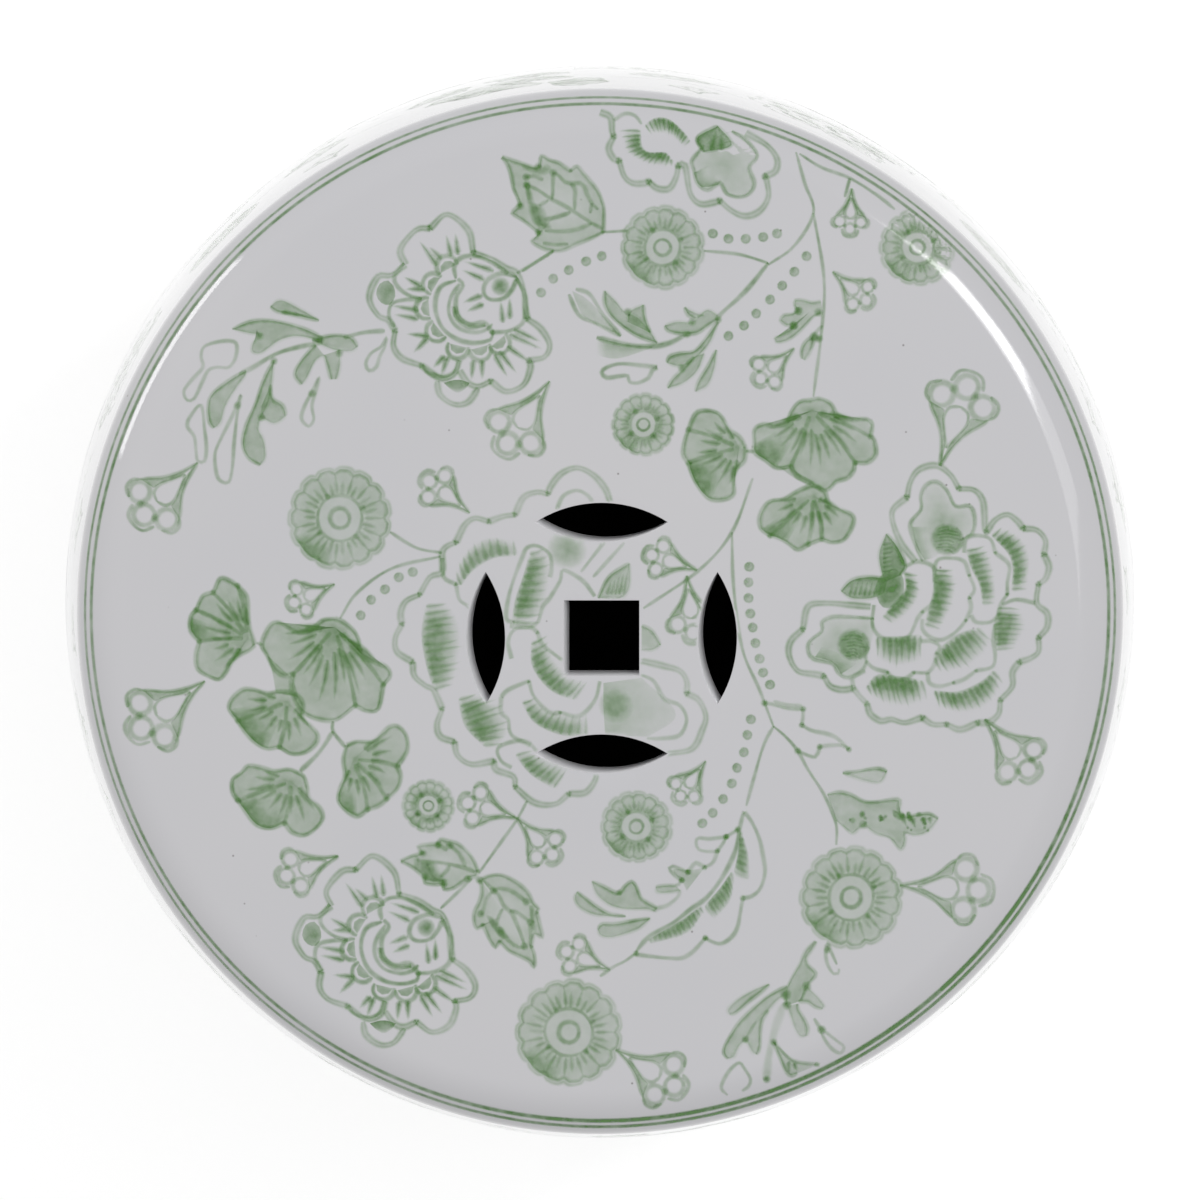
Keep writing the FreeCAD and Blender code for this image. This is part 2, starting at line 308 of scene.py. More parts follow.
# Upper wall. The upper half of the thrown barrel, glazed, with the same coin cut straight
# through two opposite sides as hand-holds.
SIDE_COIN_HEIGHT = 312 * MM
HOLE_REACH = 60 * MM
HOLE_SKIN = 130 * MM
SWEEP = 0.4
upper_outside = wall_section(BELLY_SEAM, SEAT_SEAM, GLAZE_INSET, 28)
upper_inside = wall_section(BELLY_SEAM, SEAT_SEAM, WALL, 14)
upper_wall = turned("glazed_upper_wall", upper_outside + upper_inside[::-1])
side_cuts = coin((0, 0), 0, Vector((0, 0, SWEEP)))
bmesh.ops.translate(side_cuts, verts=side_cuts.verts, vec=(0, 0, -SWEEP / 2))
from_top = Vector((0, 0, 1)).rotation_difference(Vector((1, 0, 0))).to_matrix()
bmesh.ops.rotate(side_cuts, verts=side_cuts.verts, cent=(0, 0, 0), matrix=from_top)
bmesh.ops.translate(side_cuts, verts=side_cuts.verts, vec=(0, 0, SIDE_COIN_HEIGHT))
cut_through(
    upper_wall, side_cuts,
    lambda co: abs(co.x) > HOLE_SKIN and math.hypot(co.y, co.z - SIDE_COIN_HEIGHT) < HOLE_REACH,
    lambda facing: abs(facing.x) < STEEP)
upper_wall.data.materials.append(glaze)
upper_wall.data.materials.append(cut_glaze_painted_light)
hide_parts("upper_wall")
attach(upper_wall, "root")

# Lower wall. The lower half of the thrown barrel, luted to the upper one at the belly; its
# bottom edge is wiped round above the foot.
lower_outside = wall_section(FOOT_SEAM, BELLY_SEAM, GLAZE_INSET, 28)
lower_inside = wall_section(FOOT_SEAM, BELLY_SEAM, WALL, 14)
lower_wall = turned("glazed_lower_wall", lower_outside + lower_inside[::-1])
lower_wall.data.materials.append(glaze)
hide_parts("lower_wall")
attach(lower_wall, "root")

# Foot ring and coils. The foot and the coils that lute the joints inside are the same stoneware
# left bare: buff, dry and a little sandy.
BARE_CLAY = "#CDC3B1"
TOASTED_CLAY = "#B7A68C"
TOAST_SIZE = 25 * MM
SAND_SIZE = 0.9 * MM
SAND_HEIGHT = 0.15 * MM


def bare_clay_material():
    """Unglazed stoneware, toasted in patches by the kiln."""
    material, tree = new_material("bare_fired_stoneware")
    place = node(tree, "ShaderNodeTexCoord").outputs["Object"]
    patches = node(tree, "ShaderNodeTexNoise", {"Scale": 1 / TOAST_SIZE, "Detail": 4.0}, {"Vector": place})
    sand = node(tree, "ShaderNodeTexNoise", {"Scale": 1 / SAND_SIZE, "Detail": 2.0}, {"Vector": place})
    tone = node(tree, "ShaderNodeMix", {"data_type": "RGBA"}, {"Factor": patches.outputs["Fac"]})
    tone.inputs[6].default_value = linear(BARE_CLAY)
    tone.inputs[7].default_value = linear(TOASTED_CLAY)
    grit = node(
        tree, "ShaderNodeBump", {"Strength": 0.5, "Distance": SAND_HEIGHT},
        {"Height": sand.outputs["Fac"]})
    surface = node(
        tree, "ShaderNodeBsdfPrincipled", {"Roughness": 0.88},
        {"Base Color": tone.outputs[2], "Normal": grit.outputs["Normal"]})
    node(tree, "ShaderNodeOutputMaterial", {}, {"Surface": surface.outputs["BSDF"]})
    return material


bare_clay = bare_clay_material()
for name in ("foot_ring", "foot_seam_coil", "belly_seam_coil", "seat_seam_coil"):
    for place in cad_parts[name].material_slots:
        place.material = bare_clay

# Floor pads. Four self-adhesive discs of grey rubber under the foot, so that the bare clay
# doesn't scratch a floor.
PAD_GREY = "#4A4B4C"
pad_rubber, pad_tree = new_material("grey_rubber_pad")
pad_surface = node(
    pad_tree, "ShaderNodeBsdfPrincipled", {"Base Color": linear(PAD_GREY), "Roughness": 0.75})
node(pad_tree, "ShaderNodeOutputMaterial", {}, {"Surface": pad_surface.outputs["BSDF"]})
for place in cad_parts["floor_pads"].material_slots:
    place.material = pad_rubber

# Transfer print. The flowers, leaves, beads and vines are a green transfer laid on the raw
# glaze by hand and fired in. Each stroke and wash is a thin patch of ink that follows the skin,
# soft at its edges, so that lines over washes build up as printed ink does.
INK = "#4A7836"
PALE_INK = "#6DA653"
GRAIN_SIZE = 2.2 * MM
CLOUD_SIZE = 9 * MM
WASH_LIFT = 0.015 * MM
LINE_LIFT = 0.085 * MM
LIFT_STEP = 0.0006 * MM
LIFT_TURNS = 97
PRINT_EDGE = 146.2
SHEET_CELL = 3
SHEET_GAP = 3
SHEET_SLACK = 1.06
PEN = 0.95
SINGLE_LINE = (-1, -0.35, 0.35, 1)
DOUBLE_LINE = (-1.3, -0.55, 0, 0.55, 1.3)
HATCH = ((0, 0.5, 0.7), (0.15, 1, 1), (0.5, 0.8, 0.85), (0.8, 0.5, 0.5), (1, 0.2, 0))
COMB_FADE = (0.35, 0.95, 1, 0.85, 0.55, 0.25, 0)


def ink_material():
    """Green ink under the clear glaze: mottled where the transfer took unevenly."""
    material, tree = new_material("green_transfer_ink")
    place = node(tree, "ShaderNodeTexCoord").outputs["Object"]
    ink = node(tree, "ShaderNodeAttribute", {"attribute_name": "ink"}).outputs["Fac"]
    grain = node(tree, "ShaderNodeTexNoise", {"Scale": 1 / GRAIN_SIZE, "Detail": 3.0}, {"Vector": place})
    cloud = node(tree, "ShaderNodeTexNoise", {"Scale": 1 / CLOUD_SIZE, "Detail": 2.0}, {"Vector": place})
    thin = node(
        tree, "ShaderNodeMapRange", {"From Min": 0.25, "From Max": 0.7, "To Min": 0.72, "To Max": 1.08},
        {"Value": grain.outputs["Fac"]})
    uneven = node(
        tree, "ShaderNodeMapRange", {"From Min": 0.3, "From Max": 0.7, "To Min": 0.78, "To Max": 1.12},
        {"Value": cloud.outputs["Fac"]})
    both = node(
        tree, "ShaderNodeMath", {"operation": "MULTIPLY"},
        {0: thin.outputs["Result"], 1: uneven.outputs["Result"]})
    strength = node(
        tree, "ShaderNodeMath", {"operation": "MULTIPLY", "use_clamp": True}, {0: ink, 1: both.outputs[0]})
    clear = node(tree, "ShaderNodeMath", {"operation": "SUBTRACT", 0: 1.0}, {1: strength.outputs[0]})
    passed = node(tree, "ShaderNodeMath", {"operation": "POWER", 1: 0.6}, {0: clear.outputs[0]})
    cover = node(tree, "ShaderNodeMath", {"operation": "SUBTRACT", 0: 1.0}, {1: passed.outputs[0]})
    tone = node(tree, "ShaderNodeMix", {"data_type": "RGBA"}, {"Factor": strength.outputs[0]})
    tone.inputs[6].default_value = linear(PALE_INK)
    tone.inputs[7].default_value = linear(INK)
    bump = glaze_bump(tree, place)
    surface = node(
        tree, "ShaderNodeBsdfPrincipled", GLAZE_GLOSS,
        {"Base Color": tone.outputs[2], "Alpha": cover.outputs[0], "Normal": bump.outputs["Normal"]})
    node(tree, "ShaderNodeOutputMaterial", {}, {"Surface": surface.outputs["BSDF"]})
    return material


def in_coin(x, y, margin):
    """Whether a point, in millimetres from the coin's middle, falls in one of its cuts."""
    half = SQUARE_SIDE / MM / 2 + margin
    if abs(x) < half and abs(y) < half:
        return True
    reach, thick = LENS_LENGTH / MM / 2, LENS_WIDTH / MM / 2
    bow = (reach ** 2 + thick ** 2) / (2 * thick)
    for across, along in ((x, y), (y, x)):
        if abs(along) < reach + margin:
            swell = math.sqrt(bow ** 2 - along ** 2) - bow + thick
            if abs(abs(across) - LENS_REACH / MM) < swell + margin:
                return True
    return False


def on_seat(x, y):
    """The place of a plan point, in millimetres, on the seat's skin, and its facing."""
    dome_centre, dome, centre, roll, start = outer_corner[:5]
    reach = math.hypot(x, y) * MM
    outward = Vector((x, y, 0)).normalized()
    if reach < centre.x + roll * math.cos(start):
        facing = outward * reach + Vector((0, 0, math.sqrt(dome ** 2 - reach ** 2)))
        return Vector((0, 0, dome_centre.y)) + facing, facing.normalized()
    out = min(reach - centre.x, roll * 0.98)
    facing = outward * out + Vector((0, 0, math.sqrt(roll ** 2 - out ** 2)))
    return outward * centre.x + Vector((0, 0, centre.y)) + facing, facing.normalized()


def off_seat(x, y):
    """Where the seat's print stops: at the inner ring and at the cuts."""
    middle = [COIN_CENTRE[axis] / MM for axis in (0, 1)]
    return math.hypot(x, y) > PRINT_EDGE or in_coin(x - middle[0], y - middle[1], 0.5)


def smooth(points, step=0.9, closed=False):
    """A curve through given points, sampled finely enough to bend."""
    knots = [Vector(point) for point in points]
    if closed:
        knots = [knots[-1]] + knots + knots[:2]
    else:
        knots = [2 * knots[0] - knots[1]] + knots + [2 * knots[-1] - knots[-2]]
    line = []
    for a, b, c, d in zip(knots, knots[1:], knots[2:], knots[3:]):
        steps = max(1, round((c - b).length / step))
        for number in range(steps):
            t = number / steps
            bend = (c - a) * t + (2 * a - 5 * b + 4 * c - d) * t ** 2 + (3 * b - a - 3 * c + d) * t ** 3
            line.append(b + bend * 0.5)
    return line + [knots[-2]]


def spread(line, count):
    """The same curve as a given number of evenly spaced points."""
    lengths = [0]
    for a, b in zip(line, line[1:]):
        lengths.append(lengths[-1] + (b - a).length)
    result, place = [], 0
    for number in range(count):
        wanted = lengths[-1] * number / (count - 1)
        while place < len(line) - 2 and lengths[place + 1] < wanted:
            place += 1
        share = (wanted - lengths[place]) / max(lengths[place + 1] - lengths[place], 1e-9)
        result.append(line[place].lerp(line[place + 1], min(share, 1)))
    return result


class Transfer:
    """One motif of the print, drawn in millimetres and laid on the seat or on the side."""

    def __init__(self, name, surface, hidden, pivot=(0, 0), origin=None):
        self.name, self.surface, self.hidden = name, surface, hidden
        self.put(pivot, pivot if origin is None else origin)
        self.bm = bmesh.new()
        self.ink = self.bm.verts.layers.float.new("ink")
        self.sheet = self.bm.loops.layers.uv.new("OFBake")
        self.grids, self.laid = [], 0
        self.single = bpy.data.meshes.new(name + "_patch")
        self.chance = random.Random(name)

    def put(self, pivot, origin, turn=0.0, size=1.0):
        """Carry what is drawn next from a pivot to an origin, turned and sized."""
        self.pivot, self.origin = Vector(pivot), Vector(origin)
        self.turn, self.size = Vector((math.cos(turn), math.sin(turn))), size

    def patch(self, rows, inks, lift):
        """Lay a grid of points, each with its strength of ink."""
        across, along = len(rows[0]) - 1, len(rows) - 1
        grid = bmesh.new()
        ink = grid.verts.layers.float.new("ink")
        verts = bmesh.ops.create_grid(grid, x_segments=across, y_segments=along, size=1)["verts"]
        lift += LIFT_STEP * (len(self.grids) % LIFT_TURNS)
        places = [point for row in rows for point in row]
        strengths = [value for row in inks for value in row]
        for vert, point, value in zip(verts, places, strengths):
            local = (Vector(point) - self.pivot) * self.size
            x = self.origin.x + local.x * self.turn.x - local.y * self.turn.y
            y = self.origin.y + local.x * self.turn.y + local.y * self.turn.x
            place, facing = self.surface(x, y)
            vert.co = place + facing * lift
            vert[ink] = 0 if self.hidden(x, y) else value
        self.grids.append((across, along, self.laid))
        self.laid += len(verts)
        grid.to_mesh(self.single)
        grid.free()
        self.bm.from_mesh(self.single)

    def line(self, points, width=1.0, ink=0.95, ends=(0.6, 0.6), closed=False, double=False, step=0.9):
        """A brush or pen line: swelling a little, darker where the ink pooled."""
        line = smooth(points, step, closed)
        swell, pooled = self.chance.uniform(0, 6), self.chance.uniform(0, 6)
        rows, inks = [], []
        for place, point in enumerate(line):
            after = line[1] if closed and place == len(line) - 1 else line[min(place + 1, len(line) - 1)]
            before = line[-2] if closed and place == 0 else line[max(place - 1, 0)]
            way = (after - before).normalized()
            side = Vector((-way.y, way.x))
            t = place / (len(line) - 1)
            shape = 1 if closed else min(1, ends[0] + 6 * t, ends[1] + 6 * (1 - t))
            half = width * PEN * shape * (1 + 0.14 * math.sin(swell + place * 0.35))
            value = ink * (0.8 + 0.12 * math.sin(pooled + place * 0.23))
            if double:
                rows.append([point + side * half * reach for reach in DOUBLE_LINE])
                inks.append([0, value * 0.85, value * 0.5, value * 0.85, 0])
            else:
                rows.append([point + side * half * reach for reach in SINGLE_LINE])
                inks.append([0, value * 0.9, value * 0.9, 0])
        self.patch(rows, inks, LINE_LIFT)

    def hatch(self, start, end, width=1.0, ink=0.85, bow=0.0):
        """A short stroke pressed down at its start and lifted towards its end."""
        start, end = Vector(start), Vector(end)
        way = end - start
        side = Vector((-way.y, way.x)).normalized()
        rows, inks = [], []
        for t, share, value in HATCH:
            point = start + way * t + side * bow * way.length * math.sin(math.pi * t)
            rows.append([point + side * width * PEN * share * reach for reach in (-1, 0, 1)])
            inks.append([0, ink * value * 1.1, 0])
        self.patch(rows, inks, LINE_LIFT)

    def wash(self, one, other, inks, ends=(1, 1), step=1.6):
        """Thin colour between two lines; inks run from the first line to the other."""
        one, other = smooth(one, step), smooth(other, step)
        count = max(len(one), len(other), 4)
        one, other = spread(one, count), spread(other, count)
        rows, strengths = [], []
        for place, (a, b) in enumerate(zip(one, other)):
            t = place / (count - 1)
            fade = min(1, ends[0] + 5 * t, ends[1] + 5 * (1 - t))
            rows.append([a.lerp(b, number / (len(inks) - 1)) for number in range(len(inks))])
            strengths.append([value * fade for value in inks])
        self.patch(rows, strengths, WASH_LIFT)

    def fan(self, hub, rim, inks, closed=True, step=1.6):
        """Thin colour from a hub out to a rim; inks run from the hub outwards."""
        hub = Vector(hub)
        rows, strengths = [], []
        for point in smooth(rim, step, closed):
            rows.append([hub.lerp(point, number / (len(inks) - 1)) for number in range(len(inks))])
            strengths.append(inks)
        self.patch(rows, strengths, WASH_LIFT)

    def circle(self, centre, radius, around=16):
        """The points of a circle, not quite true."""
        wobble = self.chance.uniform(0, 6)
        turns = [math.tau * number / around for number in range(around)]
        return [(centre[0] + radius * math.cos(turn) * (1 + 0.03 * math.sin(2 * turn + wobble)),
                 centre[1] + radius * math.sin(turn)) for turn in turns]

    def disc(self, centre, radius, inks, around=14):
        """A round patch of colour; inks run from its middle outwards."""
        self.fan(centre, self.circle(centre, radius, around), inks, True, radius * 0.45)

    def blot(self, centre, radius=0.9, ink=0.75):
        """A dark spot where strokes meet."""
        self.disc(centre, radius * 1.4, [ink, ink * 0.9, ink * 0.5, 0], 7)

    def lobes(self, points, width=1.0, ink=0.9, double=False, blots=0.8):
        """A lobed line; a point given twice is a notch between two lobes."""
        start = 0
        for place in range(1, len(points) + 1):
            if place == len(points) or points[place] == points[place - 1]:
                self.line(points[start:place], width, ink, (1, 1), False, double)
                if place < len(points) and blots:
                    self.blot(points[place], blots)
                start = place

    def comb(self, base, tips, count, ink=0.8):
        """Shading at the root of a petal: dark at the root, combed outwards with single strokes."""
        self.wash(base, tips, [value * ink for value in COMB_FADE], (0.1, 0.1))
        foot, head = spread(smooth(base), count), spread(smooth(tips), count)
        wide = (head[0] - head[-1]).length / count
        for number, (a, b) in enumerate(zip(foot, head)):
            far = self.chance.uniform(0.9, 1.15)
            bow = self.chance.uniform(-0.06, 0.06)
            worn = 1 - 0.3 * number / count
            self.hatch(a.lerp(b, 0.05), a.lerp(b, far), min(1.3, 0.45 * wide + 0.15), 0.85 * ink * worn, bow)

    def leaf(self, one, other, ink=0.5, edge=0.66, width=0.9):
        """A small frond: flat colour with one side of its outline drawn harder."""
        self.wash(one, other, [ink * 1.2, ink, ink * 0.9, ink, ink * 0.8], (1, 1), 1.2)
        self.line(one, width, edge)
        self.line(other, width * 0.8, edge * 0.5)

    def lay(self, slot="glaze"):
        """Turn the patches into one piece of print."""
        bpy.data.meshes.remove(self.single)
        self.bm.verts.ensure_lookup_table()
        area = sum(
            (a * SHEET_CELL + SHEET_GAP) * (b * SHEET_CELL + SHEET_GAP) for a, b, first in self.grids)
        longest = max(max(a, b) for a, b, first in self.grids) * SHEET_CELL + SHEET_GAP
        side = max(longest, SHEET_SLACK * math.sqrt(area))
        left = bottom = shelf = 0
        spots = []
        order = sorted(range(len(self.grids)), key=lambda number: -self.grids[number][0])
        for number in order:
            across, along, first = self.grids[number]
            wide, high = along * SHEET_CELL + SHEET_GAP, across * SHEET_CELL + SHEET_GAP
            if left + wide > side:
                left, bottom, shelf = 0, bottom + shelf, 0
            spots.append((left, bottom, number))
            left, shelf = left + wide, max(shelf, high)
        side = max(side, bottom + shelf)
        for left, bottom, number in spots:
            across, along, first = self.grids[number]
            for place, vert in enumerate(self.bm.verts[first:first + (across + 1) * (along + 1)]):
                row, column = divmod(place, across + 1)
                u = (left + SHEET_GAP / 2 + row * SHEET_CELL) / side
                v = (bottom + SHEET_GAP / 2 + column * SHEET_CELL) / side
                for loop in vert.link_loops:
                    loop[self.sheet].uv = (u, v)
        bare = [face for face in self.bm.faces if all(vert[self.ink] <= 0 for vert in face.verts)]
        bmesh.ops.delete(self.bm, geom=bare, context="FACES")
        for face in self.bm.faces:
            face.normal_update()
            if face.normal.dot(self.facing_at(face.verts[0].co)) < 0:
                face.normal_flip()
        piece = made(self.name, self.bm)
        piece.data.materials.append(INK_MATERIAL)
        facings = [self.facing_at(vert.co) for vert in piece.data.vertices]
        piece.data.normals_split_custom_set_from_vertices(facings)
        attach(piece, "root")

    def facing_at(self, co):
        """The way the skin faces below a point of the print."""
        if self.surface is on_seat:
            return on_seat(co.x / MM, co.y / MM)[1]
        radius = math.hypot(co.x, co.y)
        outward = Vector((co.x, co.y, 0)) / radius
        return (outward * (radius - BELLY + CURVE) + Vector((0, 0, co.z - BELLY_SEAM))).normalized()


INK_MATERIAL = ink_material()


def print_on_seat(name, drawing, *where):
    """Draw one motif of the seat's print and lay it."""
    motif = Transfer("seat_print_" + name, on_seat, off_seat, *where)
    drawing(motif)
    motif.lay()


# Rings. Two green lines banded on the wheel where the seat rolls over: a full one inside
# and a thinner, paler one outside it.
INNER_RING = 147.0
OUTER_RING = 148.9
RING_PARTS = 8
RING_STEPS = 32


def ring(name, radius, width, ink):
    """One banded line, drawn wider towards the near right-hand side, where its ink is also painted darker as
    shade.
    """
    band = Transfer(name, on_seat, lambda x, y: False)
    for part in range(RING_PARTS):
        rows, inks = [], []
        for step in range(RING_STEPS + 1):
            turn = math.tau * (part + step / RING_STEPS) / RING_PARTS
            # Painted shade: towards the near right-hand side the ink is darker, and the line is wider.
            weight_and_painted_shade = max(0, math.cos(turn + 1.05)) ** 2
            half = width * (0.5 + 0.25 * weight_and_painted_shade)
            middle = radius + 0.08 * math.sin(5 * turn + 1) * math.sin(2 * turn)
            rows.append([((middle + half * reach) * math.cos(turn), (middle + half * reach) * math.sin(turn))
                         for reach in (-1.2, -0.5, 0.5, 1.2)])
            value = ink * (0.85 + 0.06 * math.sin(7 * turn) + 0.35 * weight_and_painted_shade)
            inks.append([0, value, value, 0])
        band.patch(rows, inks, LINE_LIFT)
    band.lay()


ring("inner_ring", INNER_RING, 1.05, 0.9)
ring("outer_ring", OUTER_RING, 0.8, 0.85)

# Camellias. Two blooms from one engraved plate: lobed outer petals in a double line, small
# round scallops round an open throat, a bud at the tip, and ribs pressed in pairs.
CAMELLIA_RIM = [
    (-56, 100.5), (-57.5, 105), (-53, 110.5), (-49, 111), (-49, 111), (-44, 115), (-38, 110.5),
    (-36.5, 104), (-36.5, 104), (-31, 102), (-27, 99.5), (-24, 98), (-22, 93), (-21.5, 88), (-21, 85),
    (-21, 85), (-17, 82), (-14.5, 77.5), (-16, 74), (-20.5, 73), (-20.5, 73), (-20, 71), (-22, 66),
    (-27, 64), (-31.5, 67), (-31.5, 67), (-35, 65.5), (-38, 66.5), (-40.5, 70)]
CAMELLIA_LEFT = [
    (-40.5, 73), (-42, 69), (-46, 67.8), (-51.5, 71.5), (-51.5, 71.5), (-57, 73.5), (-59.5, 77),
    (-59, 81.5), (-59, 81.5), (-61, 84.5), (-64, 86), (-66.5, 91), (-64, 97), (-60, 97.5), (-56, 100.5)]
CAMELLIA_PETALS = [
    [(-56.5, 101), (-59.2, 97.1), (-58.3, 94.2), (-55, 91.7), (-51.3, 90.8)],
    [(-51.3, 90.5), (-56.3, 90.4), (-60, 89.2), (-60.8, 85.8), (-59.2, 82.5)],
    [(-51.3, 71.7), (-49.2, 69.2), (-45, 68.3), (-41.7, 70), (-40.6, 73)]]
CAMELLIA_EYE = Vector((-38, 89))
CAMELLIA_SCALLOPS = [(-44, 100), (-48, 95), (-50, 88), (-47, 81.5), (-41, 76.5), (-34.5, 76), (-29, 78)]
CAMELLIA_RIBS = [
    ((-47.5, 101), (-51, 106)), ((-46, 102.5), (-48.5, 105)), ((-43, 103.5), (-44, 108)),
    ((-41, 104), (-41.5, 108.5)), ((-52, 94.5), (-55.5, 96.5)), ((-51, 93.5), (-55, 93.5)),
    ((-53, 87.5), (-58.5, 88.5)), ((-53, 85), (-58, 86)), ((-50, 80), (-54.5, 80.5)), ((-50, 79), (-53, 76)),
    ((-45, 74), (-47.5, 71.5)), ((-44, 73.5), (-45.5, 69.5)), ((-36.5, 72.5), (-37, 68.5)),
    ((-34, 72.5), (-34, 68.5)), ((-30, 74), (-27.5, 69.5)), ((-28.5, 75), (-25, 70.5)),
    ((-26, 76.5), (-21, 73)), ((-25, 80), (-18.5, 77)), ((-24, 81.5), (-18.5, 79)),
    ((-31.5, 99), (-37.5, 101)), ((-34, 96.5), (-38.5, 98.5)), ((-34.5, 91.5), (-38.5, 90)),
    ((-34, 89), (-37.5, 87.5)), ((-28, 84.5), (-28.5, 89)), ((-26, 85.5), (-26, 90))]


def camellia(t):
    """One bloom, seen half from the side."""
    t.lobes(CAMELLIA_RIM, 1.0, 0.85, True)
    t.lobes(CAMELLIA_LEFT, 1.0, 0.85, True)
    t.line([(-47, 67), (-46, 63), (-42, 60.3), (-38, 61), (-35, 65)], 1.0, 0.8, (0.6, 0.6), False, True)
    t.wash([(-45, 66.5), (-41, 67.5), (-37.5, 66.5)], [(-43.5, 65), (-41, 63.5), (-38.5, 65)],
           [0.85, 0.8, 0.65, 0.2])
    for petal in CAMELLIA_PETALS:
        t.line(petal, 0.9, 0.7)
    t.fan((-61, 92.5),
          [(-61, 96), (-63.5, 95), (-64.5, 92), (-63, 89.5), (-60.5, 89), (-59, 91.5), (-59.5, 94.5)],
          [0.8, 0.75, 0.65, 0.55])
    throat = [(-41.5, 96), (-46, 94), (-47.5, 88.5), (-45.5, 82.5), (-41, 79), (-36, 78), (-31.5, 79),
              (-31, 81)]
    lip = [(-40.5, 95), (-43, 91), (-43.5, 86.5), (-41, 82.5), (-36, 81), (-32.5, 82), (-31, 83.5)]
    t.line(throat, 1.0, 0.85)
    t.line(lip, 0.9, 0.75)
    t.line([(-42, 88.5), (-41.5, 85), (-37.5, 82.5), (-33, 83)], 0.8, 0.75)
    t.wash([(-43, 88.5), (-42, 85), (-37, 82.3), (-33, 82.6)],
           [(-41, 88.5), (-40, 85.5), (-37, 83.8), (-33, 84)], [0.2, 0.5, 0.2])
    t.line([(-41.5, 96.5), (-42, 100), (-40, 102.5), (-36, 103), (-31, 101), (-26.5, 98)], 1.0, 0.8)
    t.lobes([(-41, 96.5), (-39.5, 94.5), (-41.5, 91), (-41, 86), (-37.5, 83.5), (-33.5, 84), (-31, 81),
             (-31, 81), (-26, 81.5), (-22.5, 83.5), (-21.5, 86.5), (-21.5, 91.5), (-24, 96.5)], 1.0, 0.75)
    t.line([(-24, 97), (-28.5, 98), (-32.5, 96), (-33.5, 92.5), (-31.5, 90.5), (-27.5, 91), (-25, 94),
            (-24, 97)], 1.0, 0.85)
    t.disc((-28.7, 94.3), 3.0, [0.85, 0.8, 0.65, 0.4, 0])
    for centre in CAMELLIA_SCALLOPS:
        centre = Vector(centre)
        out = (centre - CAMELLIA_EYE).normalized()
        lead = math.atan2(out.y, out.x)
        arch = [centre + 3.1 * Vector((math.cos(lead + turn), math.sin(lead + turn))) for turn in
                (-1.9, -1.2, -0.4, 0.4, 1.2, 1.9)]
        t.line(arch, 1.0, 0.8)
        bowl = [centre - out * 0.7 + 2.4 * Vector((math.cos(lead + turn), math.sin(lead + turn)))
                for turn in (-1.6, -0.8, 0, 0.8, 1.6)]
        t.wash(bowl, [bowl[0].lerp(bowl[-1], share / 4) for share in range(5)], [0.5, 0.6, 0.55, 0.4])
    for foot, tip in CAMELLIA_RIBS:
        foot, tip = Vector(foot), Vector(tip)
        t.hatch(foot - (tip - foot) * 0.15, tip + (tip - foot) * 0.3, 1.35, 0.8)
        t.wash([foot + Vector((-0.8, 0.8)), tip + Vector((-0.8, 0.8))],
               [foot + Vector((0.8, -0.8)), tip + Vector((0.8, -0.8))], [0, 0.25, 0], (0.6, 0))


UPPER_CAMELLIA = (-40, 88)
LOWER_CAMELLIA = (-61.5, -97)
print_on_seat("camellia_upper", camellia)
print_on_seat("camellia_lower", camellia, UPPER_CAMELLIA, LOWER_CAMELLIA)

# Peonies. The three great blooms: a double-lined lobed rim, and rows of petals that each
# start dark and combed at the root and fade out to a white edge.
CENTRE_PEONY_RIM = [
    (3, 32), (1.5, 36), (-2, 40), (-6.5, 42), (-11, 40.5), (-14, 37), (-15, 34.5), (-15, 34.5),
    (-18, 35), (-22, 33.5), (-24.5, 28.5), (-24.5, 28.5), (-28, 28), (-32, 26.5), (-32, 26.5),
    (-36, 27.5), (-39, 25.5), (-41.5, 20.5), (-41.5, 20.5), (-44, 19.5), (-45.5, 17.5), (-45.5, 12),
    (-49, 10.5), (-52, 5.5), (-52, 5.5), (-56, 3.5), (-57.5, 0), (-57, -3), (-57, -3), (-59, -7),
    (-58.5, -11), (-54, -14), (-54, -14), (-53.5, -18), (-50, -21), (-48, -22), (-45.5, -27.5),
    (-45.5, -27.5), (-47, -32), (-46, -35.5), (-42, -37), (-42, -37), (-41, -41), (-37, -43.5),
    (-30.5, -42.5), (-30.5, -42.5), (-30, -45), (-25, -47), (-24.5, -50), (-24.5, -50), (-19, -54.5),
    (-13, -55), (-9, -52), (-9, -52), (-4, -51.5), (-1, -47), (-2, -44)]
CENTRE_PEONY_COMBS = [
    ([(-40, 8), (-36.5, 12.5), (-30.5, 16), (-24.5, 16.5)],
     [(-41.5, 12.5), (-38, 18.5), (-32, 22), (-25, 21)], 10),
    ([(-25.5, -2.5), (-24.5, 4), (-22, 11.5), (-20.5, 17)],
     [(-18, -2.5), (-15.5, 4), (-14.5, 12.5), (-15.5, 19)], 10),
    ([(-50.5, 2), (-51.5, -6.5), (-50, -15.5), (-48, -22)],
     [(-43.5, 3), (-40.5, -3.5), (-40.5, -11), (-42.5, -20.5)], 12),
    ([(-41, -25), (-39, -32.5), (-34, -38)],
     [(-35, -23), (-28.5, -27), (-26.5, -33.5), (-28.5, -37.5)], 9),
    ([(-20, -9), (-19.5, -15.5), (-14.5, -22), (-8, -25)],
     [(-15.5, -6.5), (-13.5, -13), (-8, -18.5), (-3.5, -19.5)], 11),
    ([(-22.5, -26), (-19, -31.5), (-11.5, -35), (-4, -35.5)],
     [(-19, -24.5), (-13.5, -28.5), (-4, -29.5)], 10),
    ([(-24.5, -41), (-20, -46.5), (-13.5, -50.5)], [(-19, -39.5), (-14.5, -42.5), (-9, -44.5)], 8)]
